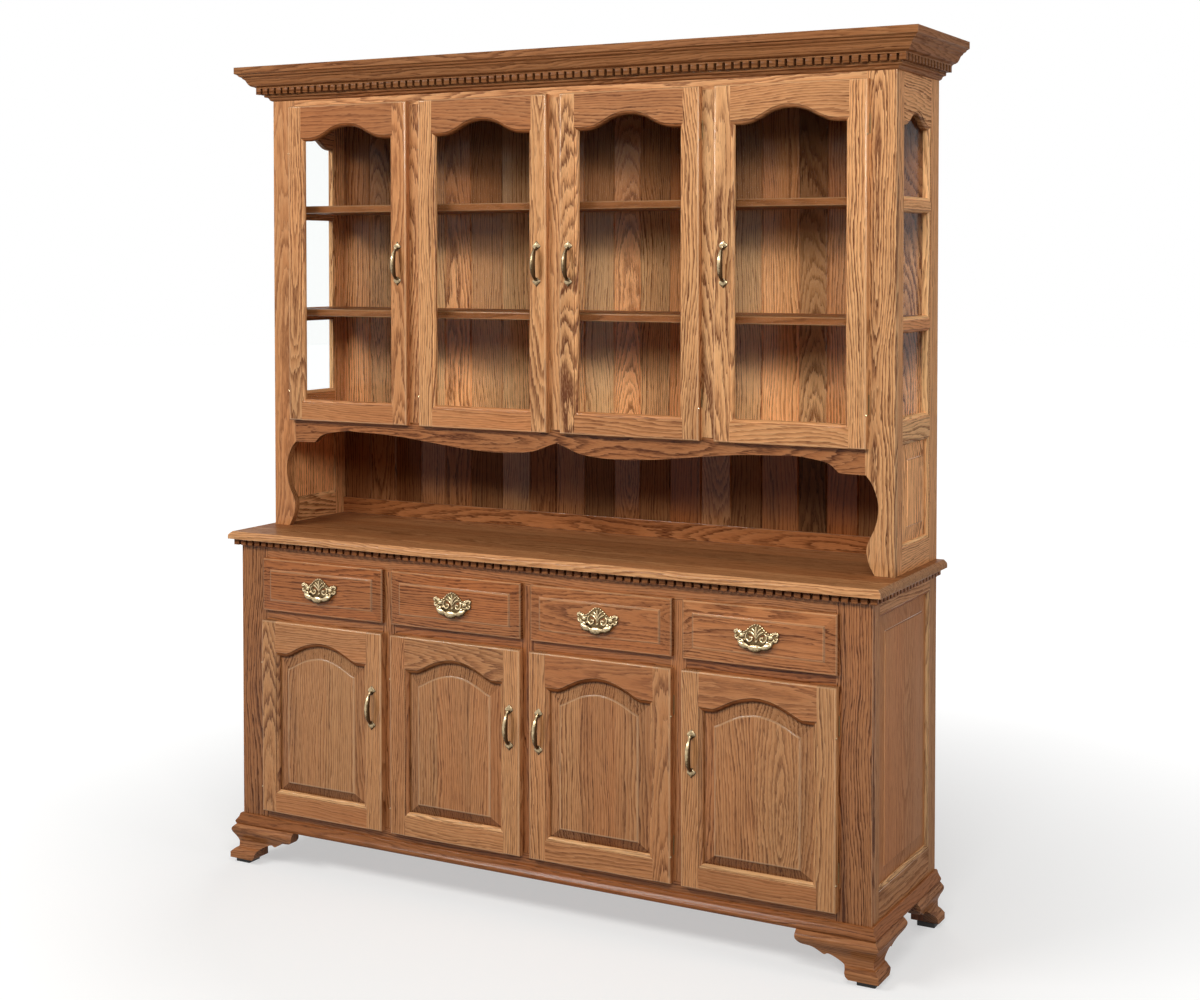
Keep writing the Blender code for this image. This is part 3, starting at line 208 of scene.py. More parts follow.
# The posts' place on the plate, across and up, and the plate's thickness
POST_X = 0.031
POST_Z = -0.009
PLATE_THICK = 0.002
BAIL = ((0.0, 0.0026), (0.06, 0.0034), (0.12, 0.0054), (0.19, 0.0072), (0.26, 0.0072), (0.315, 0.0050),
        (0.335, 0.0048), (0.37, 0.0074), (0.42, 0.0090), (0.5, 0.0094))
# Hinge barrels: radius, radius in the lines between their knuckles, length, and where the lines are
BARREL_RADIUS = 0.0013
BARREL_LINE = 0.0010
BARREL_LENGTH = 0.045
BARREL_JOINTS = (0.009, 0.018, 0.027, 0.036)

# Soft lamps: the stage's setting for their power, place, what they point at, width and height
LAMPS = (("key", (1.45, -2.4, 2.6), (0.0, 0.0, 1.25), 1.3, 0.9),
         ("fill", (-1.95, -2.9, 3.0), (0.0, 0.0, 1.05), 2.5, 0.45),
         ("back", (-1.2, 3.4, 2.8), (0.0, 0.0, 1.1), 2.4, 1.0),
         ("side", (4.2, -0.3, 2.3), (0.0, 0.0, 1.5), 1.4, 2.0))
# The round floor that the hutch stands on
FLOOR_RADIUS = 30.0
# Camera: place, how far it is tipped down and turned, in degrees, its picture's shift, and its sensor
CAMERA_PLACE = (2.2606, -3.98455, 1.6110)
CAMERA_DOWN = 1.725
CAMERA_TURN = 28.437
CAMERA_SHIFT = (-0.0029, -0.155)
SENSOR_WIDTH = 36.0

# The way that the brass's painted highlight faces: faces turned towards it are painted pale gold, and faces
# turned away are painted brown as painted shade
BRASS_LIGHT_WAY = (-0.30, -0.80, 0.52)
# Kinds of node that come often
MATH, RANGE, MIX = "ShaderNodeMath", "ShaderNodeMapRange", "ShaderNodeMix"


def linear(code):
    """An sRGB hex colour as linear red, green and blue."""
    values = [int(code[index:index + 2], 16) / 255 for index in (1, 3, 5)]
    return [value / 12.92 if value <= 0.04045 else ((value + 0.055) / 1.055) ** 2.4 for value in values]


def length_property(name, description, default):
    return bpy.props.FloatProperty(name=name, description=description, default=default, min=0.0,
                                   unit="LENGTH", precision=4)


def colour_property(name, description, code):
    return bpy.props.FloatVectorProperty(name=name, description=description, default=linear(code),
                                         subtype="COLOR", min=0.0, max=1.0)


def number_property(name, description, default):
    return bpy.props.FloatProperty(name=name, description=description, default=default)


def power_property(name, description, default):
    return bpy.props.FloatProperty(name=name, description=description, default=default, min=0.0,
                                   unit="POWER")


class HutchOak(bpy.types.PropertyGroup):
    light: colour_property("Late wood", "Colour of the dense wood between the pores", "#E3AD77")
    middle: colour_property("Middle", "Colour of the wood just past the pores", "#CE9460")
    dark: colour_property("Early wood", "Colour of the open pores, which hold the stain", "#5E2E12")
    red: colour_property("Red cast", "What the redder boards lean to", "#B76C3A")
    sap: colour_property("Sapwood cast", "What the paler, greyer boards lean to", "#C4A273")
    ring: length_property("Ring spacing", "Distance from one year's pores to the next, a wide one", 0.0066)
    pore: length_property("Pore width", "Width of a pore streak, drawn coarser than real to show", 0.0017)
    roughness: number_property("Roughness", "Roughness of the wood under the lacquer", 0.4)
    lacquer: number_property("Lacquer", "Share of light that the lacquer's own gloss takes part in", 0.38)


class HutchJoinery(bpy.types.PropertyGroup):
    glazed_stile: length_property("Glazed door stile", "Flat width beside the glass bead", 0.0425)
    glazed_rail: length_property("Glazed door rail", "Flat height of the bottom rail", 0.048)
    glazed_bead: length_property("Glass bead", "Width of the bead round the glass", 0.009)
    panel_stile: length_property("Panelled door stile", "Flat width beside the bead", 0.046)
    panel_rail: length_property("Panelled door rail", "Flat height of the bottom rail", 0.0515)
    panel_bead: length_property("Panel bead", "Width of the bead round the panel", 0.010)
    bevel: length_property("Panel bevel", "Width of the bevel round a door panel's field", 0.028)
    end_bevel: length_property("End bevel", "Width of the bevel round an end panel's field", 0.036)
    arris: length_property("Arris", "How far sharp edges were sanded over", 0.0009)


class HutchDentils(bpy.types.PropertyGroup):
    width: length_property("Block", "Width of one dentil", 0.0162)
    pitch: length_property("Pitch", "Distance from one dentil to the next", 0.0225)
    height: length_property("Height", "Height of one dentil", 0.016)
    crown_out: length_property("Crown reach", "How far the crown's dentils stand out of the case", 0.033)
    base_out: length_property("Counter reach", "How far the counter's dentils stand out", 0.0152)


class HutchFittings(bpy.types.PropertyGroup):
    # The brass colour is partly a painted highlight on faces turned out and up, and the patina partly a
    # painted shade on faces turned away
    brass: colour_property("Brass", "Polished high parts of the antiqued brass", "#DCC49A")
    patina: colour_property("Patina", "Darkened hollows of the brass", "#4A3622")
    reach: length_property("Pull reach", "How far the bow pulls stand out", 0.028)
    bow: length_property("Bow", "Half of the distance between a bow pull's legs", 0.040)
    bail_drop: length_property("Bail drop", "How far the bail hangs under its posts", 0.0148)
    roughness: number_property("Roughness", "Roughness of the polished parts", 0.2)


class HutchStage(bpy.types.PropertyGroup):
    floor: colour_property("Floor", "The pale floor", "#BEBEBC")
    key: power_property("Key lamp", "Power of the big soft lamp at the front", 46.0)
    side: power_property("Side lamp", "Power of the soft lamp at the right", 37.0)
    fill: power_property("Fill lamp", "Power of the soft lamp at the left", 88.0)
    back: power_property("Back lamp", "Power of the weak soft lamp behind", 30.0)
    sky: number_property("Surroundings", "Strength of the white surroundings on the object", 0.07)
    lens: number_property("Lens", "Focal length of the camera in millimetres", 54.495)


def add(tree, kind, links=None, **settings):
    """A node of that kind, with its settings, and its inputs set or linked. A node that is given for an
    input is linked by its first output in use."""
    made = tree.nodes.new(kind)
    for key, value in settings.items():
        setattr(made, key, value)
    for socket, source in (links or {}).items():
        if isinstance(source, bpy.types.Node):
            source = next(output for output in source.outputs if output.enabled)
        if isinstance(source, bpy.types.NodeSocket):
            tree.links.new(source, made.inputs[socket])
        else:
            made.inputs[socket].default_value = source
    return made


def new_material(name):
    """An empty material with its output, and its tree."""
    made = bpy.data.materials.new(name)
    made.use_nodes = True
    made.node_tree.nodes.clear()
    output = made.node_tree.nodes.new("ShaderNodeOutputMaterial")
    return made, made.node_tree, output.inputs["Surface"]


def oak_material(name, settings, from_board):
    """Plain-sawn red oak, stained and sprayed with a satin lacquer: each year's open pores hold the stain
    and show as a dark speckled band with a sharp edge, arched where the saw ran level with the rings, on
    smooth tan wood. Cut ends drink more stain. The lacquer gives rounded edges a bright line, and these edges
    are also painted paler, partly as real wear and partly as a painted highlight. The lacquer is rubbed thin
    enough to stay clear on a slant, and is thinner on the dark boards inside. The place in the board comes
    from the face's own board, or on a plain board that runs along X from where it lies."""
    made, tree, surface = new_material(name)
    if from_board:
        grain = add(tree, "ShaderNodeAttribute", attribute_name="grain").outputs["Vector"]
        looks = add(tree, "ShaderNodeAttribute", attribute_name="stain").outputs["Vector"]
        tone, cast, end = add(tree, "ShaderNodeSeparateXYZ", {0: looks}).outputs
        figure = add(tree, "ShaderNodeAttribute", attribute_name="figure").outputs["Fac"]
        edge = add(tree, "ShaderNodeAttribute", attribute_name="edge").outputs["Fac"]
    else:
        place = add(tree, "ShaderNodeTexCoord").outputs["Object"]
        grain = add(tree, "ShaderNodeMapping", {"Vector": place, "Location": (3.0, 0.02, 0.04)})
        stack = add(tree, "ShaderNodeVectorMath", {0: grain, 1: (0.4, 0.8, 0.8)}, operation="MULTIPLY")
        cast = add(tree, "ShaderNodeTexNoise", {"Vector": stack, "Scale": 1.0, "Detail": 0.0})
        tone = add(tree, MATH, {0: cast, 1: 0.9}, operation="SUBTRACT")
        end, figure, edge = 0.0, 0.7, 0.0

    # How often each pattern comes in a metre along, across and down from the heart, its detail and
    # roughness: four swell the rings, the pores and fibres are drawn coarser than real to show
    fine = 1.0 / settings.pore
    patterns = {"bow": ((1.6, 6.0, 6.0), 1.0, 0.5), "wave": ((7.0, 24.0, 24.0), 1.0, 0.5),
                "ripple": ((10.0, 230.0, 230.0), 1.0, 0.5), "fray": ((60.0, 520.0, 520.0), 0.0, 0.5),
                "pores": ((fine * 0.08, fine, fine), 1.0, 0.5),
                "fibre": ((fine * 0.04, fine * 1.2, fine * 1.2), 2.0, 0.6),
                "cloud": ((1.4, 9.0, 9.0), 2.0, 0.5), "patch": ((2.2, 16.0, 16.0), 1.0, 0.5)}
    noise = {}
    for key, (stretch, detail, rough) in patterns.items():
        scaled = add(tree, "ShaderNodeVectorMath", {0: grain, 1: stretch}, operation="MULTIPLY")
        noise[key] = add(tree, "ShaderNodeTexNoise", {"Vector": scaled, "Scale": 1.0, "Detail": detail,
                                                      "Roughness": rough})

    # The rings round the heart, and how dark each year's early wood is
    across, depth = add(tree, "ShaderNodeSeparateXYZ", {0: grain}).outputs[1:]
    across = add(tree, MATH, {0: across, 1: across}, operation="MULTIPLY")
    depth = add(tree, MATH, {0: depth, 1: depth}, operation="MULTIPLY")
    radius = add(tree, MATH, {0: across, 1: depth}, operation="ADD")
    radius = add(tree, MATH, {0: radius}, operation="SQRT")
    for key, height in (("bow", 0.08), ("wave", 0.014), ("ripple", 0.0062), ("fray", 0.0018)):
        radius = add(tree, MATH, {0: noise[key], 1: height, 2: radius}, operation="MULTIPLY_ADD")
    phase = add(tree, MATH, {0: radius, 1: settings.ring}, operation="DIVIDE")
    ring = add(tree, MATH, {0: phase}, operation="FRACT")
    count = add(tree, MATH, {0: phase}, operation="FLOOR")
    year = add(tree, "ShaderNodeTexWhiteNoise", {"W": count}, noise_dimensions="1D").outputs["Value"]
    band = add(tree, MATH, {0: year, 1: 0.42, 2: 0.22}, operation="MULTIPLY_ADD")
    early = add(tree, MATH, {0: ring, 1: band}, operation="DIVIDE")
    early = add(tree, MATH, {0: 1.0, 1: early}, operation="SUBTRACT")
    onset = add(tree, RANGE, {"Value": ring, "From Min": 0.92, "From Max": 1.0})
    early = add(tree, MATH, {0: early, 1: onset}, operation="MAXIMUM")
    early = add(tree, MATH, {0: early, 1: 0.0}, operation="MAXIMUM")
    early = add(tree, MATH, {0: early, 1: 0.6}, operation="POWER")
    strength = add(tree, RANGE, {"Value": year, "From Min": 0.0, "From Max": 0.7, "To Min": 0.4,
                                 "To Max": 1.0})
    early = add(tree, MATH, {0: early, 1: strength}, operation="MULTIPLY")

    # The bare wood's colour, which leans to sapwood or to red
    late = add(tree, RANGE, {"Value": ring, "From Min": 0.3, "From Max": 1.0})
    wood = add(tree, MIX, {"Factor": late, 6: (*settings.middle, 1.0), 7: (*settings.light, 1.0)},
               data_type="RGBA")
    pale = add(tree, RANGE, {"Value": cast, "From Min": 0.25, "From Max": 0.0, "To Min": 0.0, "To Max": 0.6})
    wood = add(tree, MIX, {"Factor": pale, 6: wood, 7: (*settings.sap, 1.0)}, data_type="RGBA")
    lean = add(tree, RANGE, {"Value": cast, "From Min": 0.3, "From Max": 1.0, "To Min": 0.0, "To Max": 0.65})
    deep = add(tree, RANGE, {"Value": tone, "From Min": 0.0, "From Max": -0.8, "To Min": 0.0, "To Max": 0.5})
    lean = add(tree, MATH, {0: lean, 1: deep}, operation="ADD")
    warm = add(tree, RANGE, {"Value": noise["cloud"], "From Min": 0.35, "From Max": 0.75, "To Min": 0.0,
                             "To Max": 0.25})
    lean = add(tree, MATH, {0: lean, 1: warm}, operation="ADD")
    lean = add(tree, MATH, {0: lean, 1: 1.0}, operation="MINIMUM")
    wood = add(tree, MIX, {"Factor": lean, 6: wood, 7: (*settings.red, 1.0)}, data_type="RGBA")

    # The stain in the pores, in patches, in the fibres and on cut ends
    speckle = add(tree, RANGE, {"Value": noise["pores"], "From Min": 0.41, "From Max": 0.59})
    speckle = add(tree, MATH, {0: speckle, 1: 0.50, 2: 0.50}, operation="MULTIPLY_ADD")
    stain = add(tree, MATH, {0: early, 1: speckle}, operation="MULTIPLY")
    for key, low, high, share in (("patch", 0.56, 0.72, 0.18), ("fibre", 0.52, 0.68, 0.26)):
        marks = add(tree, RANGE, {"Value": noise[key], "From Min": low, "From Max": high})
        marks = add(tree, MATH, {0: marks, 1: share}, operation="MULTIPLY")
        stain = add(tree, MATH, {0: stain, 1: marks}, operation="ADD")
    stain = add(tree, MATH, {0: stain, 1: figure}, operation="MULTIPLY")
    end = add(tree, MATH, {0: end, 1: 0.9}, operation="MULTIPLY")
    end = add(tree, MATH, {0: end, 1: 0.40}, operation="MINIMUM")
    soaked = add(tree, MATH, {0: end, 1: 0.4}, operation="MULTIPLY")
    stain = add(tree, MATH, {0: stain, 1: soaked}, operation="ADD")
    stain = add(tree, MATH, {0: stain, 1: 0.95}, operation="MINIMUM")
    wood = add(tree, MIX, {"Factor": stain, 6: wood, 7: (*settings.dark, 1.0)}, data_type="RGBA")
    # Sanded edges are painted paler: partly real wear, partly a painted highlight
    wear_and_highlight = add(tree, MATH, {0: edge, 1: 0.5}, operation="MULTIPLY")
    wood = add(tree, MIX, {"Factor": wear_and_highlight, 6: wood, 7: (*settings.light, 1.0)}, data_type="RGBA")

    # How light the board is as a whole, which on shaded copies of a board holds their painted light and
    # shade, along its fibres and in clouds, and on cut ends
    level = add(tree, MATH, {0: tone, 1: 0.42, 2: 1.0}, operation="MULTIPLY_ADD")
    level = add(tree, MATH, {0: level, 1: 0.1}, operation="MAXIMUM")
    for key, low, high, start, stop in (("fibre", 0.25, 0.75, 1.08, 0.90), ("cloud", 0.2, 0.8, 0.88, 1.12)):
        share = add(tree, RANGE, {"Value": noise[key], "From Min": low, "From Max": high, "To Min": start,
                                  "To Max": stop})
        level = add(tree, MATH, {0: level, 1: share}, operation="MULTIPLY")
    share = add(tree, MATH, {0: end, 1: -0.7, 2: 1.0}, operation="MULTIPLY_ADD")
    level = add(tree, MATH, {0: level, 1: share}, operation="MULTIPLY")
    wood = add(tree, "ShaderNodeVectorMath", {0: wood, 3: level}, operation="SCALE")

    relief = add(tree, MATH, {0: stain, 1: -1.0}, operation="MULTIPLY")
    bump = add(tree, "ShaderNodeBump", {"Strength": 0.3, "Distance": 0.0004, "Height": relief})
    gloss = add(tree, MATH, {0: stain, 1: 0.2, 2: settings.roughness}, operation="MULTIPLY_ADD")
    slant = add(tree, "ShaderNodeLayerWeight", {"Blend": 0.5}).outputs["Facing"]
    film = add(tree, RANGE, {"Value": slant, "From Min": 0.35, "From Max": 0.70, "To Min": settings.lacquer,
                             "To Max": settings.lacquer * 0.10})
    film = add(tree, MATH, {0: film, 1: edge}, operation="MAXIMUM")
    inside = add(tree, RANGE, {"Value": tone, "From Min": -1.15, "From Max": -0.5, "To Min": 0.12,
                               "To Max": 1.0})
    film = add(tree, MATH, {0: film, 1: inside}, operation="MULTIPLY")
    shader = add(tree, "ShaderNodeBsdfPrincipled", {
        "Base Color": wood, "Roughness": gloss, "IOR": 1.45, "Specular IOR Level": 0.02, "Coat Weight": film,
        "Coat Roughness": 0.14, "Normal": bump})
    tree.links.new(shader.outputs[0], surface)
    return made


def brass_material(name, settings, dull):
    """Cast brass, darkened and then rubbed bright under a clear lacquer: pale gold on the high parts and
    brown patina in the hollows. Faces that turn out and up are painted pale gold as a painted highlight, and
    those underneath brown as painted shade. The duller it is, the more of it stays brown."""
    made, tree, surface = new_material(name)
    place = add(tree, "ShaderNodeTexCoord").outputs
    worn = add(tree, "ShaderNodeTexNoise", {"Vector": place["Object"], "Scale": 260.0, "Detail": 3.0})
    edge = add(tree, "ShaderNodeNewGeometry").outputs["Pointiness"]
    high = add(tree, RANGE, {"Value": edge, "From Min": 0.42, "From Max": 0.56})
    # Painted highlight and shade: faces turned towards the light's way are painted pale gold, those turned
    # away brown
    faces = add(tree, "ShaderNodeVectorMath", {0: place["Normal"], 1: BRASS_LIGHT_WAY}, operation="DOT_PRODUCT")
    faces = add(tree, RANGE, {"Value": faces, "From Min": 0.35, "From Max": 0.98})
    wear_and_painted_light = add(tree, MATH, {0: high, 1: 0.4, 2: worn}, operation="MULTIPLY_ADD")
    wear_and_painted_light = add(tree, MATH, {0: faces, 1: 0.9, 2: wear_and_painted_light}, operation="MULTIPLY_ADD")
    factor = add(tree, RANGE, {"Value": wear_and_painted_light, "From Min": dull, "From Max": dull + 0.85})
    base = add(tree, MIX, {"Factor": factor, 6: (*settings.patina, 1.0), 7: (*settings.brass, 1.0)},
               data_type="RGBA")
    gloss = add(tree, RANGE, {"Value": factor, "To Min": settings.roughness + 0.2,
                              "To Max": settings.roughness})
    bump = add(tree, "ShaderNodeBump", {"Strength": 0.12, "Distance": 0.0003, "Height": worn})
    shader = add(tree, "ShaderNodeBsdfPrincipled", {"Base Color": base, "Metallic": 1.0, "Roughness": gloss,
                                                    "Normal": bump})
    tree.links.new(shader.outputs[0], surface)
    return made


def dark_brass_material(name):
    """Brass that was darkened and never rubbed, with a dull shine: brown as dark as the shadow in the gaps
    beside the doors, so that on the hinge barrels it is a painted shade.
    """
    made, tree, surface = new_material(name)
    place = add(tree, "ShaderNodeTexCoord").outputs["Object"]
    worn = add(tree, "ShaderNodeTexNoise", {"Vector": place, "Scale": 400.0, "Detail": 2.0})
    base = add(tree, MIX, {"Factor": worn, 6: (*linear("#5C482A"), 1.0), 7: (*linear("#9A7F56"), 1.0)},
               data_type="RGBA")
    shader = add(tree, "ShaderNodeBsdfPrincipled", {"Base Color": base, "Metallic": 0.8, "Roughness": 0.5})
    tree.links.new(shader.outputs[0], surface)
    return made


def glass_material(name):
    """Clean float glass, clear and flat: nothing but a faint sheen shows of it at a slant. Light for the
    wood behind passes straight through."""
    made, tree, surface = new_material(name)
    clear = add(tree, "ShaderNodeBsdfPrincipled", {"Base Color": (0.98, 0.99, 0.985, 1.0), "Roughness": 0.0,
                                                   "IOR": 1.06, "Transmission Weight": 1.0})
    open_air = add(tree, "ShaderNodeBsdfTransparent")
    path = add(tree, "ShaderNodeLightPath")
    either = add(tree, MATH, {0: path.outputs["Is Shadow Ray"], 1: path.outputs["Is Diffuse Ray"]},
                 operation="MAXIMUM")
    mix = add(tree, "ShaderNodeMixShader", {0: either, 1: clear, 2: open_air})
    tree.links.new(mix.outputs[0], surface)
    return made


def glide_material(name):
    """Black moulded plastic with a fine dull grain, which takes no stain or lacquer."""
    made, tree, surface = new_material(name)
    place = add(tree, "ShaderNodeTexCoord").outputs["Object"]
    grit = add(tree, "ShaderNodeTexNoise", {"Vector": place, "Scale": 900.0}).outputs["Fac"]
    bump = add(tree, "ShaderNodeBump", {"Strength": 0.2, "Distance": 0.0002, "Height": grit})
    shade = add(tree, MIX, {"Factor": grit, 6: (*linear("#0E0C0B"), 1.0), 7: (*linear("#221E1B"), 1.0)},
                data_type="RGBA")
    shader = add(tree, "ShaderNodeBsdfPrincipled", {"Base Color": shade, "Roughness": 0.6, "Normal": bump})
    tree.links.new(shader.outputs[0], surface)
    return made


def shared(name, make):
    """The material of that name, made on its first use."""
    return bpy.data.materials.get(name) or make(name)


def oak(scene):
    return shared("lacquered_red_oak", lambda name: oak_material(name, scene.hutch_oak, True))


def plain_oak(scene):
    return shared("lacquered_red_oak_plain_boards", lambda name: oak_material(name, scene.hutch_oak, False))


def brass(scene):
    return shared("antiqued_cast_brass", lambda name: brass_material(name, scene.hutch_fittings, 0.75))


def dull_brass(scene):
    return shared("antiqued_cast_brass_dull", lambda name: brass_material(name, scene.hutch_fittings, 1.0))


def dark_brass():
    return shared("darkened_brass", dark_brass_material)


X, Y, Z = Vector((1, 0, 0)), Vector((0, 1, 0)), Vector((0, 0, 1))
CHANCE = random.Random(19)
BOARDS = []


def board(origin, along, normal, tone=0.0, straight=False, figure=0.75, cast=None):
    """A board of its own, by a point in it, the way its grain runs and the way its face looks. A straight
    one was sawn off to one side of the log's heart, the others over it, and no saw cut runs quite along the
    log, so the rings rise through the face and close in arches. Figure is how strongly they show, and cast
    runs from pale sapwood to red heartwood."""
    side = CHANCE.choice((-1, 1)) * CHANCE.uniform(0.05, 0.11) if straight else CHANCE.uniform(-0.025, 0.025)
    heart = CHANCE.uniform(0.02, 0.05)
    lean = CHANCE.choice((-1, 1)) * (CHANCE.uniform(0.004, 0.03) if straight else CHANCE.uniform(0.03, 0.11))
    shift = (CHANCE.uniform(1.0, 90.0), side, heart)
    looks = (tone + CHANCE.uniform(-0.13, 0.13), CHANCE.random() if cast is None else cast, 0.0)
    strength = figure * CHANCE.uniform(0.8, 1.2)
    BOARDS.append((Vector(origin), along, along.cross(normal), normal + lean * along, shift, looks, strength))
    return len(BOARDS) - 1


def shaded_copy(number, tone, cast=None):
    """The same board painted darker as painted shade, or paler as painted light, by the tone given."""
    looks = BOARDS[number][5]
    looks = (looks[0] + tone, looks[1] if cast is None else cast, looks[2])
    BOARDS.append(BOARDS[number][:5] + (looks,) + BOARDS[number][6:])
    return len(BOARDS) - 1


class Opening:
    """An opening seen square on: straight sides and sill, and a head that may rise in an arch."""

    def __init__(self, centre, half, low, high, arch_half=0.0, rise=0.0, arch=()):
        self.centre = centre
        self.half = half
        self.low = low
        self.high = high
        self.arch_half = arch_half
        self.rise = rise
        self.arch = arch

    def inset(self, amount):
        return Opening(self.centre, self.half - amount, self.low + amount, self.high - amount,
                       self.arch_half, self.rise, self.arch)

    def loop(self):
        """Its outline, from the lower left corner round by the right."""
        left, right = self.centre - self.half, self.centre + self.half
        points = [(left, self.low), (right, self.low), (right, self.high)]
        if self.arch:
            both = list(reversed(self.arch)) + [(-across, lift) for across, lift in self.arch[1:]]
            points += [(self.centre + self.arch_half * across, self.high + self.rise * lift)
                       for across, lift in smooth(both, 4)]
        points.append((left, self.high))
        return points


def smooth(points, steps=4):
    """A curve through the points, each stretch between two of them in equal steps."""
    ends = [points[0]] + list(points) + [points[-1]]
    curve = []
    for before, start, end, after in zip(ends, ends[1:], ends[2:], ends[3:]):
        for step in range(steps):
            t = step / steps
            curve.append(tuple(
                0.5 * (2 * b + (c - a) * t + (2 * a - 5 * b + 4 * c - d) * t ** 2
                       + (3 * b - a - 3 * c + d) * t ** 3)
                for a, b, c, d in zip(before, start, end, after)))
    curve.append(points[-1])
    return curve


def facing_front(y):
    """Places on a front whose outer face lies at y: depth runs back."""
    return lambda u, v, depth: (u, y + depth, v)


def facing_side(side):
    """Places on a case's end: u runs along Y, and depth runs inwards."""
    return lambda u, v, depth: (side * (HALF - depth), u, v)


def closed(builder):
    bmesh.ops.remove_doubles(builder, verts=builder.verts, dist=TINY)
    bmesh.ops.recalc_face_normals(builder, faces=builder.faces)
    return builder


def skin(loops, ring=False, sides=None):
    """A solid through a row of equal loops: capped at its ends, or closed round as a ring. Sides gives the
    board of each stretch of the loops."""
    builder = bmesh.new()
    layer = builder.faces.layers.int.new("board")
    rows = [[builder.verts.new(point) for point in loop] for loop in loops]
    pairs = list(zip(rows, rows[1:]))
    if ring:
        pairs.append((rows[-1], rows[0]))
    for first, second in pairs:
        for index in range(len(first)):
            corners = (first[index - 1], first[index], second[index], second[index - 1])
            face = builder.faces.new(corners)
            if sides:
                face[layer] = sides(index)
    if not ring:
        builder.faces.new(reversed(rows[0]))
        builder.faces.new(rows[-1])
    return closed(builder)


def box(x_range, y_range, z_range):
    (x0, x1), (y0, y1), (z0, z1) = sorted(x_range), sorted(y_range), sorted(z_range)
    corners = ((x0, y0), (x1, y0), (x1, y1), (x0, y1))
    return skin([[(x, y, z) for x, y in corners] for z in (z0, z1)])


def sheet(outline, holes, place, thickness):
    """A flat board with holes: its outlines in the plane, its thickness along the place's depth."""
    builder = bmesh.new()
    edges = []
    for loop in [outline] + holes:
        verts = [builder.verts.new(place(u, v, 0.0)) for u, v in loop]
        edges += [builder.edges.new((verts[index - 1], verts[index])) for index in range(len(verts))]
    filled = bmesh.ops.triangle_fill(builder, use_beauty=True, edges=edges)
    faces = [item for item in filled["geom"] if isinstance(item, bmesh.types.BMFace)]
    grown = bmesh.ops.extrude_face_region(builder, geom=faces)
    moved = [item for item in grown["geom"] if isinstance(item, bmesh.types.BMVert)]
    shift = Vector(place(0.0, 0.0, thickness)) - Vector(place(0.0, 0.0, 0.0))
    bmesh.ops.translate(builder, verts=moved, vec=shift)
    return closed(builder)


def split(builder, axis, places):
    """Parts the faces along planes square to an axis, where one board meets the next."""
    for place in places:
        geometry = list(builder.verts) + list(builder.edges) + list(builder.faces)
        bmesh.ops.bisect_plane(builder, geom=geometry, dist=TINY, plane_co=axis * place, plane_no=axis)
    return builder


def ring_of(sections, place, boards):
    """A bead round an opening, mitred at its corners, from its cross-section. The boards are those of its
    sill, right side, head and left side."""
    below, right, above, left = boards
    order = {0: left, 1: below, 2: right}
    loops = [[place(u, v, depth) for u, v in opening.loop()] for opening, depth in sections]
    return skin(loops, True, lambda index: order.get(index, above))


def stack_of(sections, place):
    """A solid block through the openings at their depths."""
    return skin([[place(u, v, depth) for u, v in opening.loop()] for opening, depth in sections])


def tube(path, radii, sides=12):
    """A round bar along a plane path, its radius given at each point."""
    path = [Vector(point) for point in path]
    flat = (path[1] - path[0]).cross(path[len(path) // 2] - path[0])
    across = flat.normalized() if flat.length > 1e-10 else (path[1] - path[0]).orthogonal().normalized()
    loops = []
    for index, point in enumerate(path):
        before = path[max(index - 1, 0)]
        after = path[min(index + 1, len(path) - 1)]
        outward = across.cross(after - before).normalized()
        turns = [2 * math.pi * side / sides for side in range(sides)]
        loops.append([point + radii[index] * (math.cos(turn) * outward + math.sin(turn) * across)
                      for turn in turns])
    return skin(loops)


def run_round(profile, half, front):
    """A moulding of (out, height) points, mitred round the front and both ends of a case."""
    stations = ((-half, BACK, -1, 0), (-half, front, -1, -1), (half, front, 1, -1), (half, BACK, 1, 0))
    return skin([[(x + dx * out, y + dy * out, z) for out, z in profile] for x, y, dx, dy in stations])


def bead(opening, width, depth, steps=6):
    """The sticking round an opening: a narrow sunk quirk, then a quarter round down to the lip."""
    inwards, down = BEAD_CREST
    sections = [(opening.inset(-LAP), QUIRK_DEPTH), (opening.inset(QUIRK_WIDTH), QUIRK_DEPTH)]
    for step in range(steps + 1):
        turn = math.pi / 2 * step / steps
        sections.append((opening.inset(inwards + (width - inwards) * math.sin(turn)),
                         down + (depth - down) * (1 - math.cos(turn))))
    return sections


class Wood:
    """A wooden piece in the making: closed shells whose faces each know their board."""

    def __init__(self):
        self.shells = []

    def add(self, shell, choose=None, eased=True):
        """Takes a shell in. Choose is its board, or finds a face's board from its middle. A shell that is
        all curves isn't eased."""
        layer = shell.faces.layers.int.get("board") or shell.faces.layers.int.new("board")
        if choose is not None:
            for face in shell.faces:
                face[layer] = choose if isinstance(choose, int) else choose(face.calc_center_median())
        self.shells.append((shell, eased))

    def finish(self, name, body, scene, nodes=(), arris=None, shine=1.0):
        """Sands the edges over by the arris, joins the shells and hands the piece to the frame."""
        for shell, eased in self.shells:
            if eased:
                ease(shell, scene.hutch_joinery.arris if arris is None else arris)
        return finish_wood(joined(name, [shell for shell, eased in self.shells]), body, scene, nodes, shine)


def joined(name, shells):
    """A new object of those shells, which are used up. Its faces keep the numbers of their boards."""
    whole = bmesh.new()
    whole.faces.layers.int.new("board")
    for shell in shells:
        scratch = bpy.data.meshes.new("scratch")
        shell.to_mesh(scratch)
        shell.free()
        whole.from_mesh(scratch)
        bpy.data.meshes.remove(scratch)
    mesh = bpy.data.meshes.new(name)
    whole.to_mesh(mesh)
    whole.free()
    piece = bpy.data.objects.new(name, mesh)
    bpy.context.collection.objects.link(piece)
    return piece


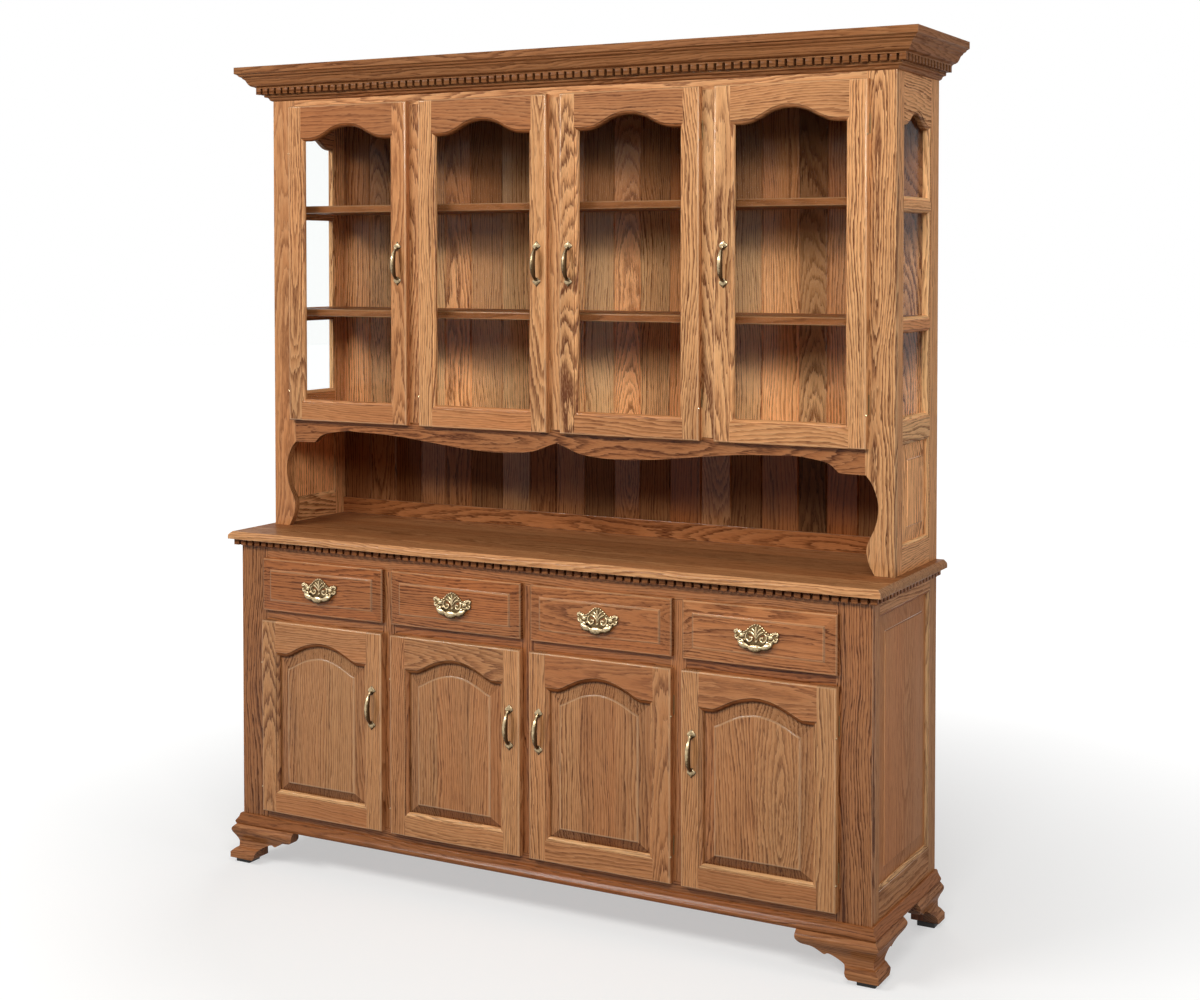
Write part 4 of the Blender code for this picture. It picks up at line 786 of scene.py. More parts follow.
def ease(shell, width, segments=2, edges=None):
    """Sands sharp edges over, and marks the new faces by their material's number."""
    if edges is None:
        edges = [edge for edge in shell.edges
                 if len(edge.link_faces) == 2 and edge.calc_face_angle() > math.radians(50)]
    bmesh.ops.bevel(shell, geom=edges, offset=width, offset_type="OFFSET", segments=segments, profile=0.5,
                    affect="EDGES", clamp_overlap=True, material=1)


def apply_modifiers(piece):
    """Makes what the modifiers show the piece's own mesh."""
    graph = bpy.context.evaluated_depsgraph_get()
    mesh = bpy.data.meshes.new_from_object(piece.evaluated_get(graph))
    piece.modifiers.clear()
    piece.data = mesh


def finish_wood(piece, body, scene, nodes=(), shine=1.0):
    """Gives each face its place in its board, and hands the piece to the frame. Shine scales the mark on its
    sanded edges, which paints them paler, partly as real wear and partly as a painted highlight, and
    lacquers them."""
    lay_grain(piece.data)
    finish_piece(piece, body, oak(scene), nodes)
    keep_flats(piece.data)
    marks = piece.data.attributes["edge"].data
    marks.foreach_set("value", read(marks, "value", np.float32) * shine)
    return piece


def read(items, key, kind, width=1):
    """One property of all the items of a mesh, as an array with a row for each item."""
    values = np.empty(len(items) * width, dtype=kind)
    items.foreach_get(key, values)
    return values.reshape(-1, width) if width > 1 else values


def keep_flats(mesh):
    """Ends the smooth shading where a sanded edge meets a face, so that a flat face stays flat."""
    numbers = read(mesh.loops, "edge_index", np.int32)
    faces = np.bincount(numbers, minlength=len(mesh.edges))
    sanded = np.bincount(numbers, read(mesh.attributes["edge"].data, "value", np.float32), len(mesh.edges))
    sharp = read(mesh.edges, "use_edge_sharp", bool)
    mesh.edges.foreach_set("use_edge_sharp", sharp | ((sanded > 0) & (sanded < faces)))


def lay_grain(mesh):
    """Writes each corner's place in its board, along, across and down from the heart, in "stain" the
    board's tone, which on shaded copies of a board holds painted light and shade, its cast, and how far the
    face cuts across the grain, in "figure" its strength, and in "edge" which faces were sanded over, which
    are painted paler, partly as wear and partly as a painted highlight."""
    totals = read(mesh.polygons, "loop_total", np.int32)
    numbers = np.repeat(read(mesh.attributes["board"].data, "value", np.int32), totals)
    origins = np.array([list(entry[0]) for entry in BOARDS])[numbers]
    axes = np.array([[list(axis) for axis in entry[1:4]] for entry in BOARDS])[numbers]
    shifts = np.array([entry[4] for entry in BOARDS])[numbers]
    points = read(mesh.vertices, "co", np.float32, 3)[read(mesh.loops, "vertex_index", np.int32)]
    places = np.einsum("nij,nj->ni", axes, points - origins) + shifts
    stains = np.array([entry[5] for entry in BOARDS])[numbers]
    normals = np.repeat(read(mesh.polygons, "normal", np.float32, 3), totals, axis=0)
    stains[:, 2] = np.abs(np.einsum("ni,ni->n", axes[:, 0], normals))
    eased = read(mesh.polygons, "material_index", np.int32)
    strengths = np.array([entry[6] for entry in BOARDS])[numbers]
    for key, values in (("grain", places), ("stain", stains), ("edge", np.repeat(eased, totals)),
                        ("figure", strengths)):
        kind, field = ("FLOAT_VECTOR", "vector") if values.ndim > 1 else ("FLOAT", "value")
        made = mesh.attributes.new(key, kind, "CORNER")
        made.data.foreach_set(field, values.astype(np.float32).ravel())
    mesh.polygons.foreach_set("material_index", np.zeros(len(eased), dtype=np.int32))
    mesh.attributes.remove(mesh.attributes["board"])


def finish_piece(piece, body, finish, nodes=(), angle=32):
    piece.data.name = piece.name
    piece.data.materials.clear()
    piece.data.materials.append(finish)
    piece.data.shade_smooth()
    piece.data.set_sharp_from_angle(angle=math.radians(angle))
    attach(piece, body)
    for node in nodes:
        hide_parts(node)
    return piece


def metal_piece(name, shells, body, finish, nodes=(), arris=0.0):
    """A piece of cast metal or plastic from its closed shells."""
    piece = joined(name, shells)
    piece.data.attributes.remove(piece.data.attributes["board"])
    if arris:
        bevel = piece.modifiers.new("arris", "BEVEL")
        bevel.width = arris
        bevel.segments = 2
        bevel.limit_method = "ANGLE"
        bevel.angle_limit = math.radians(50)
        apply_modifiers(piece)
    return finish_piece(piece, body, finish, nodes)


def cut(shell, tools):
    """Cuts the tools out of a shell."""
    objects = []
    for builder in [shell] + tools:
        mesh = bpy.data.meshes.new("cut")
        builder.to_mesh(mesh)
        builder.free()
        objects.append(bpy.data.objects.new("cut", mesh))
        bpy.context.collection.objects.link(objects[-1])
    for tool in objects[1:]:
        modifier = objects[0].modifiers.new("cut", "BOOLEAN")
        modifier.operation = "DIFFERENCE"
        modifier.solver = "EXACT"
        modifier.object = tool
    apply_modifiers(objects[0])
    result = bmesh.new()
    result.from_mesh(objects[0].data)
    for item in objects:
        bpy.data.objects.remove(item)
    return closed(result)


def door_span(door, filling):
    """Middle and half width of a door, whose hinge stands out on one side, its heights and its front."""
    low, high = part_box(door)
    inner_low, inner_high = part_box(filling)
    middle = (inner_low[0] + inner_high[0]) / 2
    return middle, min(middle - low[0], high[0] - middle), low[2], high[2], low[1]


def frame_boards(middle, half, low, high, front, stile, tone, figure, casts, calm, rails):
    """Boards of a door frame: sill rail, right stile, head rail and left stile. Rails is how much darker
    the head rail is than the stiles, and how much redder both rails are."""
    head_tone, rail_cast = tone - rails[0], rails[1]
    right_x, left_x = middle + half - stile / 2, middle - half + stile / 2

    def cast(redder=0.0):
        return CHANCE.uniform(*casts) + redder
    return (board((middle, front, low), X, -Y, tone - 0.1, True, figure * 0.6, cast(rail_cast)),
            board((right_x, front, low), Z, -Y, tone, CHANCE.random() < 0.5, figure, cast()),
            board((middle, front, high - 0.04), X, -Y, head_tone, CHANCE.random() < calm,
                  figure * 0.75, cast(rail_cast)),
            board((left_x, front, low), Z, -Y, tone, CHANCE.random() < 0.6, figure, cast()))


def rounded_step(opening, deep, shallow, width):
    """Sections of a step that stands up and then rounds over to a flat, from deep to shallow."""
    shares = ((0.0, 1.0), (0.11, 0.60), (0.28, 0.34), (0.50, 0.16), (0.75, 0.04), (1.0, 0.0))
    return [(opening.inset(width * across), shallow + (deep - shallow) * down) for across, down in shares]


def mark_rounded(shell, front, bands):
    """Marks the faces of rounded steps, whose middles lie in those bands behind the front. The marks paint
    them paler like sanded edges, partly as wear and partly as a painted highlight.
    """
    for face in shell.faces:
        depth = face.calc_center_median().y - front
        if any(low < depth < high for low, high in bands) and abs(face.normal.y) < 0.9999:
            face.material_index = 1
    return shell


def shaded_beads(boards, tones):
    """The boards of a bead, each painted darker or paler by the tone given for its side, as painted shade
    where less light falls and painted light where more falls: sill, right side, head and left side. Where it
    is painted palest, the wood also takes the pale sapwood cast."""
    return [shaded_copy(number, tone, 0.04 if tone > 0.45 else None) for number, tone in zip(boards, tones)]


def frame_of(wood, outer, opening, place, thick, boards, stile):
    """The flat part of a frame round one opening, parted where its rails meet its stiles."""
    shell = sheet(outer.loop(), [opening.loop()], place, thick)
    front = place(0.0, 0.0, 0.0)[1]

    def on_rim(point):
        return abs(point.y - front) < TINY and (
            abs(abs(point.x - outer.centre) - outer.half) < TINY
            or min(abs(point.z - outer.low), abs(point.z - outer.high)) < TINY)
    rim = [edge for edge in shell.edges if all(on_rim(vert.co) for vert in edge.verts)]
    ease(shell, DOOR_ROUND, 4, rim)
    split(shell, X, (outer.centre - stile, outer.centre + stile))
    below, right, above, left = boards

    def choose(middle):
        if abs(middle.x - outer.centre) > stile:
            return right if middle.x > outer.centre else left
        return above if middle.z > (outer.low + outer.high) / 2 else below
    wood.add(shell, choose)


class HUTCH_OT_glazed_doors(bpy.types.Operator):
    """Make the glazed doors: arched frames with a bead round the glass"""
    bl_idname = "hutch.glazed_doors"
    bl_label = "Glazed doors"

    def execute(self, context):
        sizes = context.scene.hutch_joinery
        for number in NUMBERS:
            name = "hutch_door_%d" % number
            middle, half, low, high, front = door_span(name, "hutch_door_glass_%d" % number)
            inner = half - sizes.glazed_stile
            under, shoulder, rise = GLAZED_HEAD
            opening = Opening(middle, inner, low + sizes.glazed_rail, high - under,
                              inner - sizes.glazed_bead - shoulder, rise, HUTCH_ARCH)
            # From left to right the doors grow paler, stronger in figure and less red
            tone, figure = 0.08 * number - 0.09, 0.8 + 0.1 * number
            casts = (0.44 - 0.11 * number, 0.88 - 0.14 * number)
            boards = frame_boards(middle, half, low, high, front, sizes.glazed_stile, tone, figure, casts,
                                  1.0, (0.45, 0.35))
            place = facing_front(front)
            wood = Wood()
            frame_of(wood, Opening(middle, half, low, high), opening, place, FRONT_THICK, boards, inner)
            groove, rear = opening.inset(GLASS_GROOVE), FRONT_THICK - LAP
            sections = bead(opening, sizes.glazed_bead, GLAZED_BEAD_DEPTH)
            sections += [(groove, GLAZED_BEAD_DEPTH), (groove, rear), (opening.inset(-LAP), rear)]
            # The bead is painted paler on the sill and the sides and darker under the head: painted light and
            # shade
            wood.add(ring_of(sections, place, shaded_beads(boards, (0.4, 0.3, -0.5, 0.4))), None, False)
            wood.finish("glazed_door_%d" % number, name, context.scene, (name,))
        return {"FINISHED"}


class HUTCH_OT_panelled_doors(bpy.types.Operator):
    """Make the panelled doors: arched frames round raised panels glued up from staves"""
    bl_idname = "hutch.panelled_doors"
    bl_label = "Panelled doors"

    def execute(self, context):
        sizes = context.scene.hutch_joinery
        for number in NUMBERS:
            name = "base_door_%d" % number
            panel_name = "base_door_panel_%d" % number
            middle, half, low, high, front = door_span(name, panel_name)
            inner = half - sizes.panel_stile
            under, shoulder, rise = PANEL_HEAD
            opening = Opening(middle, inner, low + sizes.panel_rail, high - under,
                              inner - sizes.panel_bead - shoulder, rise, BASE_ARCH)
            boards = frame_boards(middle, half, low, high, front, sizes.panel_stile, -0.12, 0.95,
                                  (0.3, 0.7), 0.4, (0.2, 0.12))
            place = facing_front(front)
            wood = Wood()
            frame_of(wood, Opening(middle, half, low, high), opening, place, FRONT_THICK, boards, inner)
            lip, groove = opening.inset(sizes.panel_bead), opening.inset(PANEL_GROOVE[0])
            rear = FRONT_THICK - LAP
            sections = bead(opening, sizes.panel_bead, PANEL_BEAD_DEPTH)
            sections += [(groove, PANEL_BEAD_DEPTH), (groove, PANEL_GROOVE[1]), (lip, PANEL_GROOVE[1]),
                         (lip, rear), (opening.inset(-LAP), rear)]
            # The bead is painted paler on the sill and darker under the head and on the left: painted light
            # and shade
            wood.add(ring_of(sections, place, shaded_beads(boards, (1.0, 0.1, -0.8, -0.3))), None, False)
            wood.finish("panelled_door_%d" % number, name, context.scene, (name,))

            wood = Wood()
            tongue = opening.inset(PANEL_TONGUE[0])
            field_half = lip.half - sizes.bevel
            under, shoulder, rise = FIELD_HEAD
            field = Opening(middle, field_half, lip.low + FIELD_SILL, lip.high - under,
                            field_half - shoulder, rise, BASE_ARCH)
            panel = stack_of([(tongue, PANEL_TONGUE[1]), (tongue, PANEL_TONGUE[2]),
                              (lip.inset(0.0002), PANEL_TONGUE[2])] + rounded_step(field, *FIELD_STEP), place)
            mark_rounded(panel, front, ((FIELD_STEP[1], FIELD_STEP[0]),))
            seam = CHANCE.uniform(-0.03, 0.05)
            seams = (middle + seam - 0.075, middle + seam + 0.02)
            split(panel, X, seams)
            staves = [board((middle + shift, front, low), Z, -Y, -0.3, CHANCE.random() < 0.6, 0.85,
                            0.45 + CHANCE.uniform(-0.13, 0.13)) for shift in (-0.08, seam - 0.02, 0.08)]
            # Painted shade: the bevels beside the field are painted a little darker, and the bevel under it
            # darker still
            sides = [shaded_copy(stave, -0.14) for stave in staves]
            shaded_foots = [shaded_copy(stave, -0.45) for stave in staves]

            def choose(at):
                if at.y > front + 0.0120:
                    return staves[1]
                shades = shaded_foots if at.z < field.low else sides if abs(at.x - middle) > field_half else staves
                return shades[sum(at.x > seam_x for seam_x in seams)]
            wood.add(panel, choose)
            wood.finish("raised_panel_%d" % number, name, context.scene, (panel_name,), 0.0004)
        return {"FINISHED"}


class HUTCH_OT_drawers(bpy.types.Operator):
    """Make the drawers: overlay fronts with a raised field, and the boxes behind them"""
    bl_idname = "hutch.drawers"
    bl_label = "Drawers"

    def execute(self, context):
        for number in NUMBERS:
            name = "drawer_%d" % number
            (x0, front, z0), (x1, back, z1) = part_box(name)
            middle = (x0 + x1) / 2
            outer = Opening(middle, (x1 - x0) / 2, z0, z1)
            field = outer.inset(DRAWER_BORDER)
            wood = Wood()
            face = board((middle, front, (z0 + z1) / 2), X, -Y, DRAWER_TONES[number - 1], number != 3,
                         1.0, DRAWER_CAST)
            shell = stack_of([(outer, FRONT_THICK)] + rounded_step(outer, *DRAWER_EDGE)
                             + rounded_step(field, *DRAWER_STEP), facing_front(front))
            wood.add(mark_rounded(shell, front, ((0.0, 0.0027), (0.0066, 0.0098))), face)
            half = (x1 - x0) / 2 - OVERLAY - 0.001
            start = front + FRONT_THICK
            low = z0 + OVERLAY + GAP
            top = z1 - OVERLAY - 0.014
            wall = DRAWER_WALL
            between = (middle - half + wall, middle + half - wall)
            for side in (-1, 1):
                across = (middle + side * half, middle + side * (half - wall))
                wood.add(box(across, (start, back), (low, top)),
                         board((middle, start, low), Y, X * side, -0.1, True))
            for near in (start, back - wall):
                wood.add(box(between, (near, near + wall), (low, top)),
                         board((middle, near, low), X, -Y, -0.1, True))
            wood.add(box(between, (start + wall, back - wall), (low, low + DRAWER_BOTTOM)),
                     board((middle, start, low), Y, Z, -0.2))
            wood.finish("oak_drawer_%d" % number, name, context.scene, (name,), None, 0.65)
        return {"FINISHED"}


def raised_panel(wood, opening, place, sizes, board_number):
    """The raised panel behind a beaded opening in an end."""
    lip = opening.inset(END_BEAD)
    tongue = lip.inset(-0.001)
    field = lip.inset(sizes.end_bevel)
    sections = [(tongue, BOARD - LAP), (tongue, END_BEAD_DEPTH), (lip, END_BEAD_DEPTH)]
    sections += [(field.inset(inwards), down) for inwards, down in END_FIELD]
    wood.add(stack_of(sections, place), board_number)


def end_boards(side, front, low, high, tone):
    """Boards of an end's frame: sill rail, back stile, head rail and front stile."""
    x = side * HALF
    starts = (((x, 0.0, low), Y), ((x, BACK, low), Z), ((x, 0.0, high), Y), ((x, front, low), Z))
    return [board(start, along, X * side, tone, True, 0.9, 0.5) for start, along in starts]


def end_frame(wood, side, front, low, high, openings, boards, tone):
    """An end's flat frame, its beads and the rails between its openings."""
    place = facing_side(side)
    outline = [(front, low), (BACK, low), (BACK, high), (front, high)]
    shell = sheet(outline, [opening.loop() for opening in openings], place, BOARD)
    first = openings[0]
    near, far = first.centre - first.half, first.centre + first.half
    split(shell, Y, (near, far))
    below, back_stile, above, front_stile = boards
    rails = [below] + [board((side * HALF, 0.0, opening.low), Y, X * side, tone, True)
                       for opening in openings[1:]] + [above]

    def choose(middle):
        if not near < middle.y < far:
            return front_stile if middle.y < near else back_stile
        return rails[sum(middle.z > (opening.low + opening.high) / 2 for opening in openings)]
    wood.add(shell, choose)
    for index, opening in enumerate(openings):
        sections = bead(opening, END_BEAD, END_BEAD_DEPTH)
        sections += [(opening.inset(END_BEAD), BOARD - LAP), (opening.inset(-LAP), BOARD - LAP)]
        # Each bead is painted paler on its sill and back side and darker under its head and front side:
        # painted light and shade
        around = shaded_beads((rails[index], back_stile, rails[index + 1], front_stile), (1.1, 0.5, -0.7, -0.5))
        wood.add(ring_of(sections, place, around), None, False)
    return place


def dentil_tree(finish):
    """Node tree that adds a straight run of equal blocks to what comes in."""
    tree = bpy.data.node_groups.new("dentil run", "GeometryNodeTree")
    face = tree.interface
    face.new_socket(name="Geometry", in_out="INPUT", socket_type="NodeSocketGeometry")
    for name, kind in (("Start", "Vector"), ("Step", "Vector"), ("Count", "Int"), ("Block", "Vector")):
        face.new_socket(name=name, in_out="INPUT", socket_type="NodeSocket" + kind)
    face.new_socket(name="Geometry", in_out="OUTPUT", socket_type="NodeSocketGeometry")
    given = add(tree, "NodeGroupInput").outputs
    line = add(tree, "GeometryNodeMeshLine", {"Start Location": given["Start"], "Offset": given["Step"],
                                              "Count": given["Count"]})
    block = add(tree, "GeometryNodeMeshCube", {"Size": given["Block"]})
    row = add(tree, "GeometryNodeInstanceOnPoints", {"Points": line, "Instance": block})
    both = add(tree, "GeometryNodeJoinGeometry")
    tree.links.new(given["Geometry"], both.inputs[0])
    tree.links.new(row.outputs["Instances"], both.inputs[0])
    real = add(tree, "GeometryNodeRealizeInstances", {"Geometry": both})
    dressed = add(tree, "GeometryNodeSetMaterial", {"Geometry": real, "Material": finish})
    add(tree, "NodeGroupOutput", {0: dressed})
    return tree


def dentils(name, scene, front, out, inner, top, height, tone, cast=0.6):
    """A row of dentils round the front and both ends of a case."""
    sizes = scene.hutch_dentils
    tree = bpy.data.node_groups.get("dentil run") or dentil_tree(oak(scene))
    reach = 2 * (HALF + out)
    count = round((reach + sizes.pitch - sizes.width) / sizes.pitch)
    pitch = (reach - sizes.width) / (count - 1)
    end_count = int((BACK - front + out - sizes.width) / pitch)
    middle_out = (out + inner) / 2
    z = top - height / 2
    deep = out - inner
    runs = [((-reach / 2 + sizes.width / 2, front - middle_out, z), (pitch, 0, 0), count,
             (sizes.width, deep, height))]
    for side in (-1, 1):
        runs.append(((side * (HALF + middle_out), front - out + pitch + sizes.width / 2, z), (0, pitch, 0),
                     end_count, (deep, sizes.width, height)))
    piece = bpy.data.objects.new("run", bpy.data.meshes.new("run"))
    bpy.context.collection.objects.link(piece)
    sockets = {item.name: item.identifier for item in tree.interface.items_tree if item.in_out == "INPUT"}
    for start, step, number, block in runs:
        modifier = piece.modifiers.new("run", "NODES")
        modifier.node_group = tree
        for key, value in (("Start", start), ("Step", step), ("Count", number), ("Block", block)):
            modifier[sockets[key]] = value
    apply_modifiers(piece)
    boards = trim_boards(front, top, tone, cast)
    shell = bmesh.new()
    shell.from_mesh(piece.data)
    bpy.data.objects.remove(piece)
    wood = Wood()
    wood.add(shell, trim_choice(front, boards))
    return wood.finish(name, "case", scene, (), FINE_ARRIS, 0.0)


def trim_boards(front, z, tone, cast=0.6):
    """The boards of a trim that runs round the front and both ends: left, front and right."""
    return (board((-HALF, 0.0, z), Y, -X, tone, True, 0.75, cast),
            board((0.0, front, z), X, -Y, tone, True, 1.0, cast),
            board((HALF, 0.0, z), Y, X, tone, True, 0.75, cast))


def trim_choice(front, boards):
    """Finds the board of a face in such a trim: past the mitres it is one of the ends."""
    def choose(middle):
        if abs(middle.x) - HALF > front - middle.y and abs(middle.x) > HALF - 0.02:
            return boards[0] if middle.x < 0 else boards[2]
        return boards[1]
    return choose


class HUTCH_OT_base_case(bpy.types.Operator):
    """Make the base: ends, face frame, counter, moulding and feet"""
    bl_idname = "hutch.base_case"
    bl_label = "Base case"

    def execute(self, context):
        scene = context.scene
        sizes = scene.hutch_joinery
        front = BASE_FRONT + BOARD + GAP
        high = COUNTER_LOW - GAP
        for side, name in ((-1, "base_left_side"), (1, "base_right_side")):
            near, far = BASE_FRONT + BASE_END_STILES[0], BACK - BASE_END_STILES[1]
            opening = Opening((near + far) / 2, (far - near) / 2, CASE_BOTTOM + BASE_END_RAILS[0],
                              COUNTER_LOW - BASE_END_RAILS[1])
            boards = end_boards(side, front, CASE_BOTTOM, high, -0.2)
            wood = Wood()
            place = end_frame(wood, side, front, CASE_BOTTOM, high, [opening], boards, -0.2)
            panel = board((side * HALF, 0.03, 0.5), Z, X * side, -0.22, False, 0.5)
            raised_panel(wood, opening, place, sizes, panel)
            cleat_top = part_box("base_shelf")[0][2] - GAP
            wood.add(box((side * (INNER + 0.001), side * (INNER - CLEAT)),
                         (front + CLEAT, BACK - 0.0256), (cleat_top - CLEAT, cleat_top)),
                     board((0, 0, cleat_top), Y, X, -0.2, True))
            wood.finish(name.replace("side", "end"), "case", scene, (name,))

        self.face_frame(scene)
        self.counter(scene)

        wood = Wood()
        profile = [(out, CASE_BOTTOM + rise) for out, rise in smooth(BASE_MOULDING)]
        profile += [(GAP, profile[-1][1]), (GAP, CASE_BOTTOM)]
        wood.add(run_round(profile, HALF, BASE_FRONT),
                 trim_choice(BASE_FRONT, trim_boards(BASE_FRONT, CASE_BOTTOM, -0.7)))
        wood.finish("foot_moulding", "case", scene, ("base_moulding",), 0.0005, 0.4)
        for side, word in ((-1, "left"), (1, "right")):
            for at_back in (False, True):
                self.foot(scene, side, at_back, "%s_%s_foot" % ("back" if at_back else "front", word))
        return {"FINISHED"}

    def face_frame(self, scene):
        (x0, y0, z0), (x1, _, z1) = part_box("base_face_frame")
        bays = []
        for number in NUMBERS:
            low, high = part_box("drawer_%d" % number)
            bays.append((low[0] + OVERLAY, high[0] - OVERLAY))
        drawer_low, drawer_high = low[2] + OVERLAY, high[2] - OVERLAY
        door_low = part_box("base_door_1")[0][2] + OVERLAY
        door_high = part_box("base_door_1")[1][2] - OVERLAY
        holes = []
        for left, right in bays:
            for low, high in ((door_low, door_high), (drawer_low, drawer_high)):
                holes.append([(left, low), (right, low), (right, high), (left, high)])
        shell = sheet([(x0, z0), (x1, z0), (x1, z1), (x0, z1)], holes, facing_front(y0), BOARD)
        split(shell, X, [edge for bay in bays for edge in bay])
        split(shell, Z, (door_low, drawer_high))
        stiles = [board((x, y0, z0), Z, -Y, -0.5, True, 1.5, 0.6) for x in (x0 + 0.04, x1 - 0.045)]
        posts = [board(((first[1] + second[0]) / 2, y0, z0), Z, -Y, -0.45, True, 1.2, 0.6)
                 for first, second in zip(bays, bays[1:])]
        top, bottom = (board((0, y0, z), X, -Y, -0.35, True, 0.9, 0.7) for z in (z1, z0))
        rails = [board((bay[0], y0, drawer_low), X, -Y, -0.45, True, 0.9, 0.7) for bay in bays]

        def choose(middle):
            if not bays[0][0] < middle.x < bays[-1][1]:
                return stiles[0] if middle.x < 0 else stiles[1]
            if middle.z > drawer_high:
                return top
            if middle.z < door_low:
                return bottom
            for index, (left, right) in enumerate(bays):
                if left < middle.x < right:
                    return rails[index]
                if middle.x < left:
                    return posts[index - 1]
        wood = Wood()
        wood.add(shell, choose)
        wood.finish("base_frame", "case", scene, ("base_face_frame",))

    def counter(self, scene):
        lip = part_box("base_top")[1][0] - HALF
        edge = [(lip, COUNTER_LOW)]
        edge += [(lip - back, COUNTER_TOP - down) for back, down in reversed(smooth(COUNTER_EDGE))]
        loops = []
        for out, z in edge:
            x, y = HALF + out, BASE_FRONT - out
            loops.append([(-x, y, z), (x, y, z), (x, BACK, z), (-x, BACK, z)])
        seams = [BASE_FRONT + 0.075 + 0.118 * index for index in range(4)]
        shell = split(skin(loops), Y, seams)
        staves = [board((0, BASE_FRONT + 0.1 * index, COUNTER_TOP), X, Z, tone, True, 0.75, 0.35)
                  for index, tone in enumerate((-0.45, -0.75, -0.85, -0.8, -0.9))]
        rim = board((0, BASE_FRONT, COUNTER_LOW), X, -Y, 0.15, True, 0.8, 0.4)
        in_rim = lip - COUNTER_EDGE[0][0] - 0.001

        def choose(middle):
            if middle.y < BASE_FRONT - in_rim or abs(middle.x) > HALF + in_rim:
                return rim
            return staves[sum(middle.y > seam for seam in seams)]
        wood = Wood()
        wood.add(shell, choose)
        sizes = scene.hutch_dentils
        low, band = COUNTER_LOW - sizes.height, COUNTER_LOW - 0.002
        strip = run_round(((GAP, low), (0.004, low), (0.004, band), (sizes.base_out, band),
                           (sizes.base_out, COUNTER_LOW), (GAP, COUNTER_LOW)), HALF, BASE_FRONT)
        # The strip behind the dentils is painted very dark, a painted shade in the gaps between them
        wood.add(strip, trim_choice(BASE_FRONT, trim_boards(BASE_FRONT, low, -1.6)))
        wood.finish("counter", "case", scene, ("base_top",), FINE_ARRIS)
        dentils("counter_dentils", scene, BASE_FRONT, sizes.base_out, 0.0035, COUNTER_LOW - 0.0018,
                sizes.height - 0.0018, -0.95)

    def foot(self, scene, side, at_back, name):
        top = CASE_BOTTOM - GAP
        inside = 0.010
        face = smooth([(out, share * CASE_BOTTOM) for out, share in FOOT_FACE])
        profile = [(-inside, top), (0.0135, top), (0.0175, top - 0.0035)] + face
        profile += [(face[-1][0], GLIDE_HEIGHT), (-inside, GLIDE_HEIGHT)]
        corner = (side * HALF, BACK if at_back else BASE_FRONT)
        inwards = -1 if at_back else 1
        if at_back:
            stations = ((*corner, side, 0), (corner[0], corner[1] - WING, side, 0))
        else:
            stations = ((corner[0] - side * WING, corner[1], 0, -1), (*corner, side, -1),
                        (corner[0], corner[1] + WING, side, 0))
        shell = skin([[(x + dx * out, y + dy * out, z) for out, z in profile] for x, y, dx, dy in stations])
        out_x, out_y = X * side, Y * -inwards
        tools = [self.under_wing(corner, -out_y, out_x)]
        if not at_back:
            tools.append(self.under_wing(corner, -out_x, out_y))
        along_x = board((*corner, 0), X, -Y, -0.55, True, 0.8, 0.6)
        along_y = board((*corner, 0), Y, X * side, -0.55, True, 0.8, 0.6)

        def choose(middle):
            past_x, past_y = side * middle.x - HALF, inwards * (corner[1] - middle.y)
            return along_x if past_y > past_x and not at_back else along_y
        wood = Wood()
        wood.add(cut(shell, tools), choose)
        block_y = (corner[1] + inwards * (0.018 if at_back else 0.009), corner[1] + inwards * 0.045)
        wood.add(box((side * (HALF - 0.009), side * (HALF - 0.045)), block_y, (GLIDE_HEIGHT, top)),
                 board((*corner, 0), Z, X, -0.4, True))
        if at_back:
            outline = [(0.009, GLIDE_HEIGHT)]
            outline += [(share * BRACE, max(height * CASE_BOTTOM, GLIDE_HEIGHT))
                        for share, height in BACK_CUT]
            outline += [(BRACE, top), (0.009, top)]
            wood.add(sheet(outline, [], lambda u, v, depth: (side * (HALF - u), BACK - depth, v), BOARD),
                     board((*corner, 0), X, Y, -0.4, True))
        wood.finish("bracket_" + name, "case", scene, (name,), FINE_ARRIS)
        outer, deep = HALF + 0.0145, 0.044
        edge = corner[1] - inwards * (-0.001 if at_back else 0.0145)
        glide = box((side * outer, side * (outer - deep)), (edge, edge + inwards * deep), (0.0, GLIDE_HEIGHT))
        metal_piece("glide_" + name, [glide], "case", shared("black_moulded_plastic", glide_material),
                    arris=0.0015)

    def under_wing(self, corner, along, outward):
        """Cutter under one wing's curved lower edge."""
        low = smooth([(share * WING, max(height * CASE_BOTTOM, GLIDE_HEIGHT)) for share, height in FOOT_CUT])
        outline = [(low[0][0], -0.01)] + low + [(WING + 0.02, low[-1][1]), (WING + 0.02, -0.01)]
        reach = FOOT_FACE[-1][0] + 0.002
        start = Vector((*corner, 0.0)) + reach * outward
        return sheet(outline, [], lambda u, v, depth: start + u * along - depth * outward + Vector((0, 0, v)),
                     reach + 0.03)


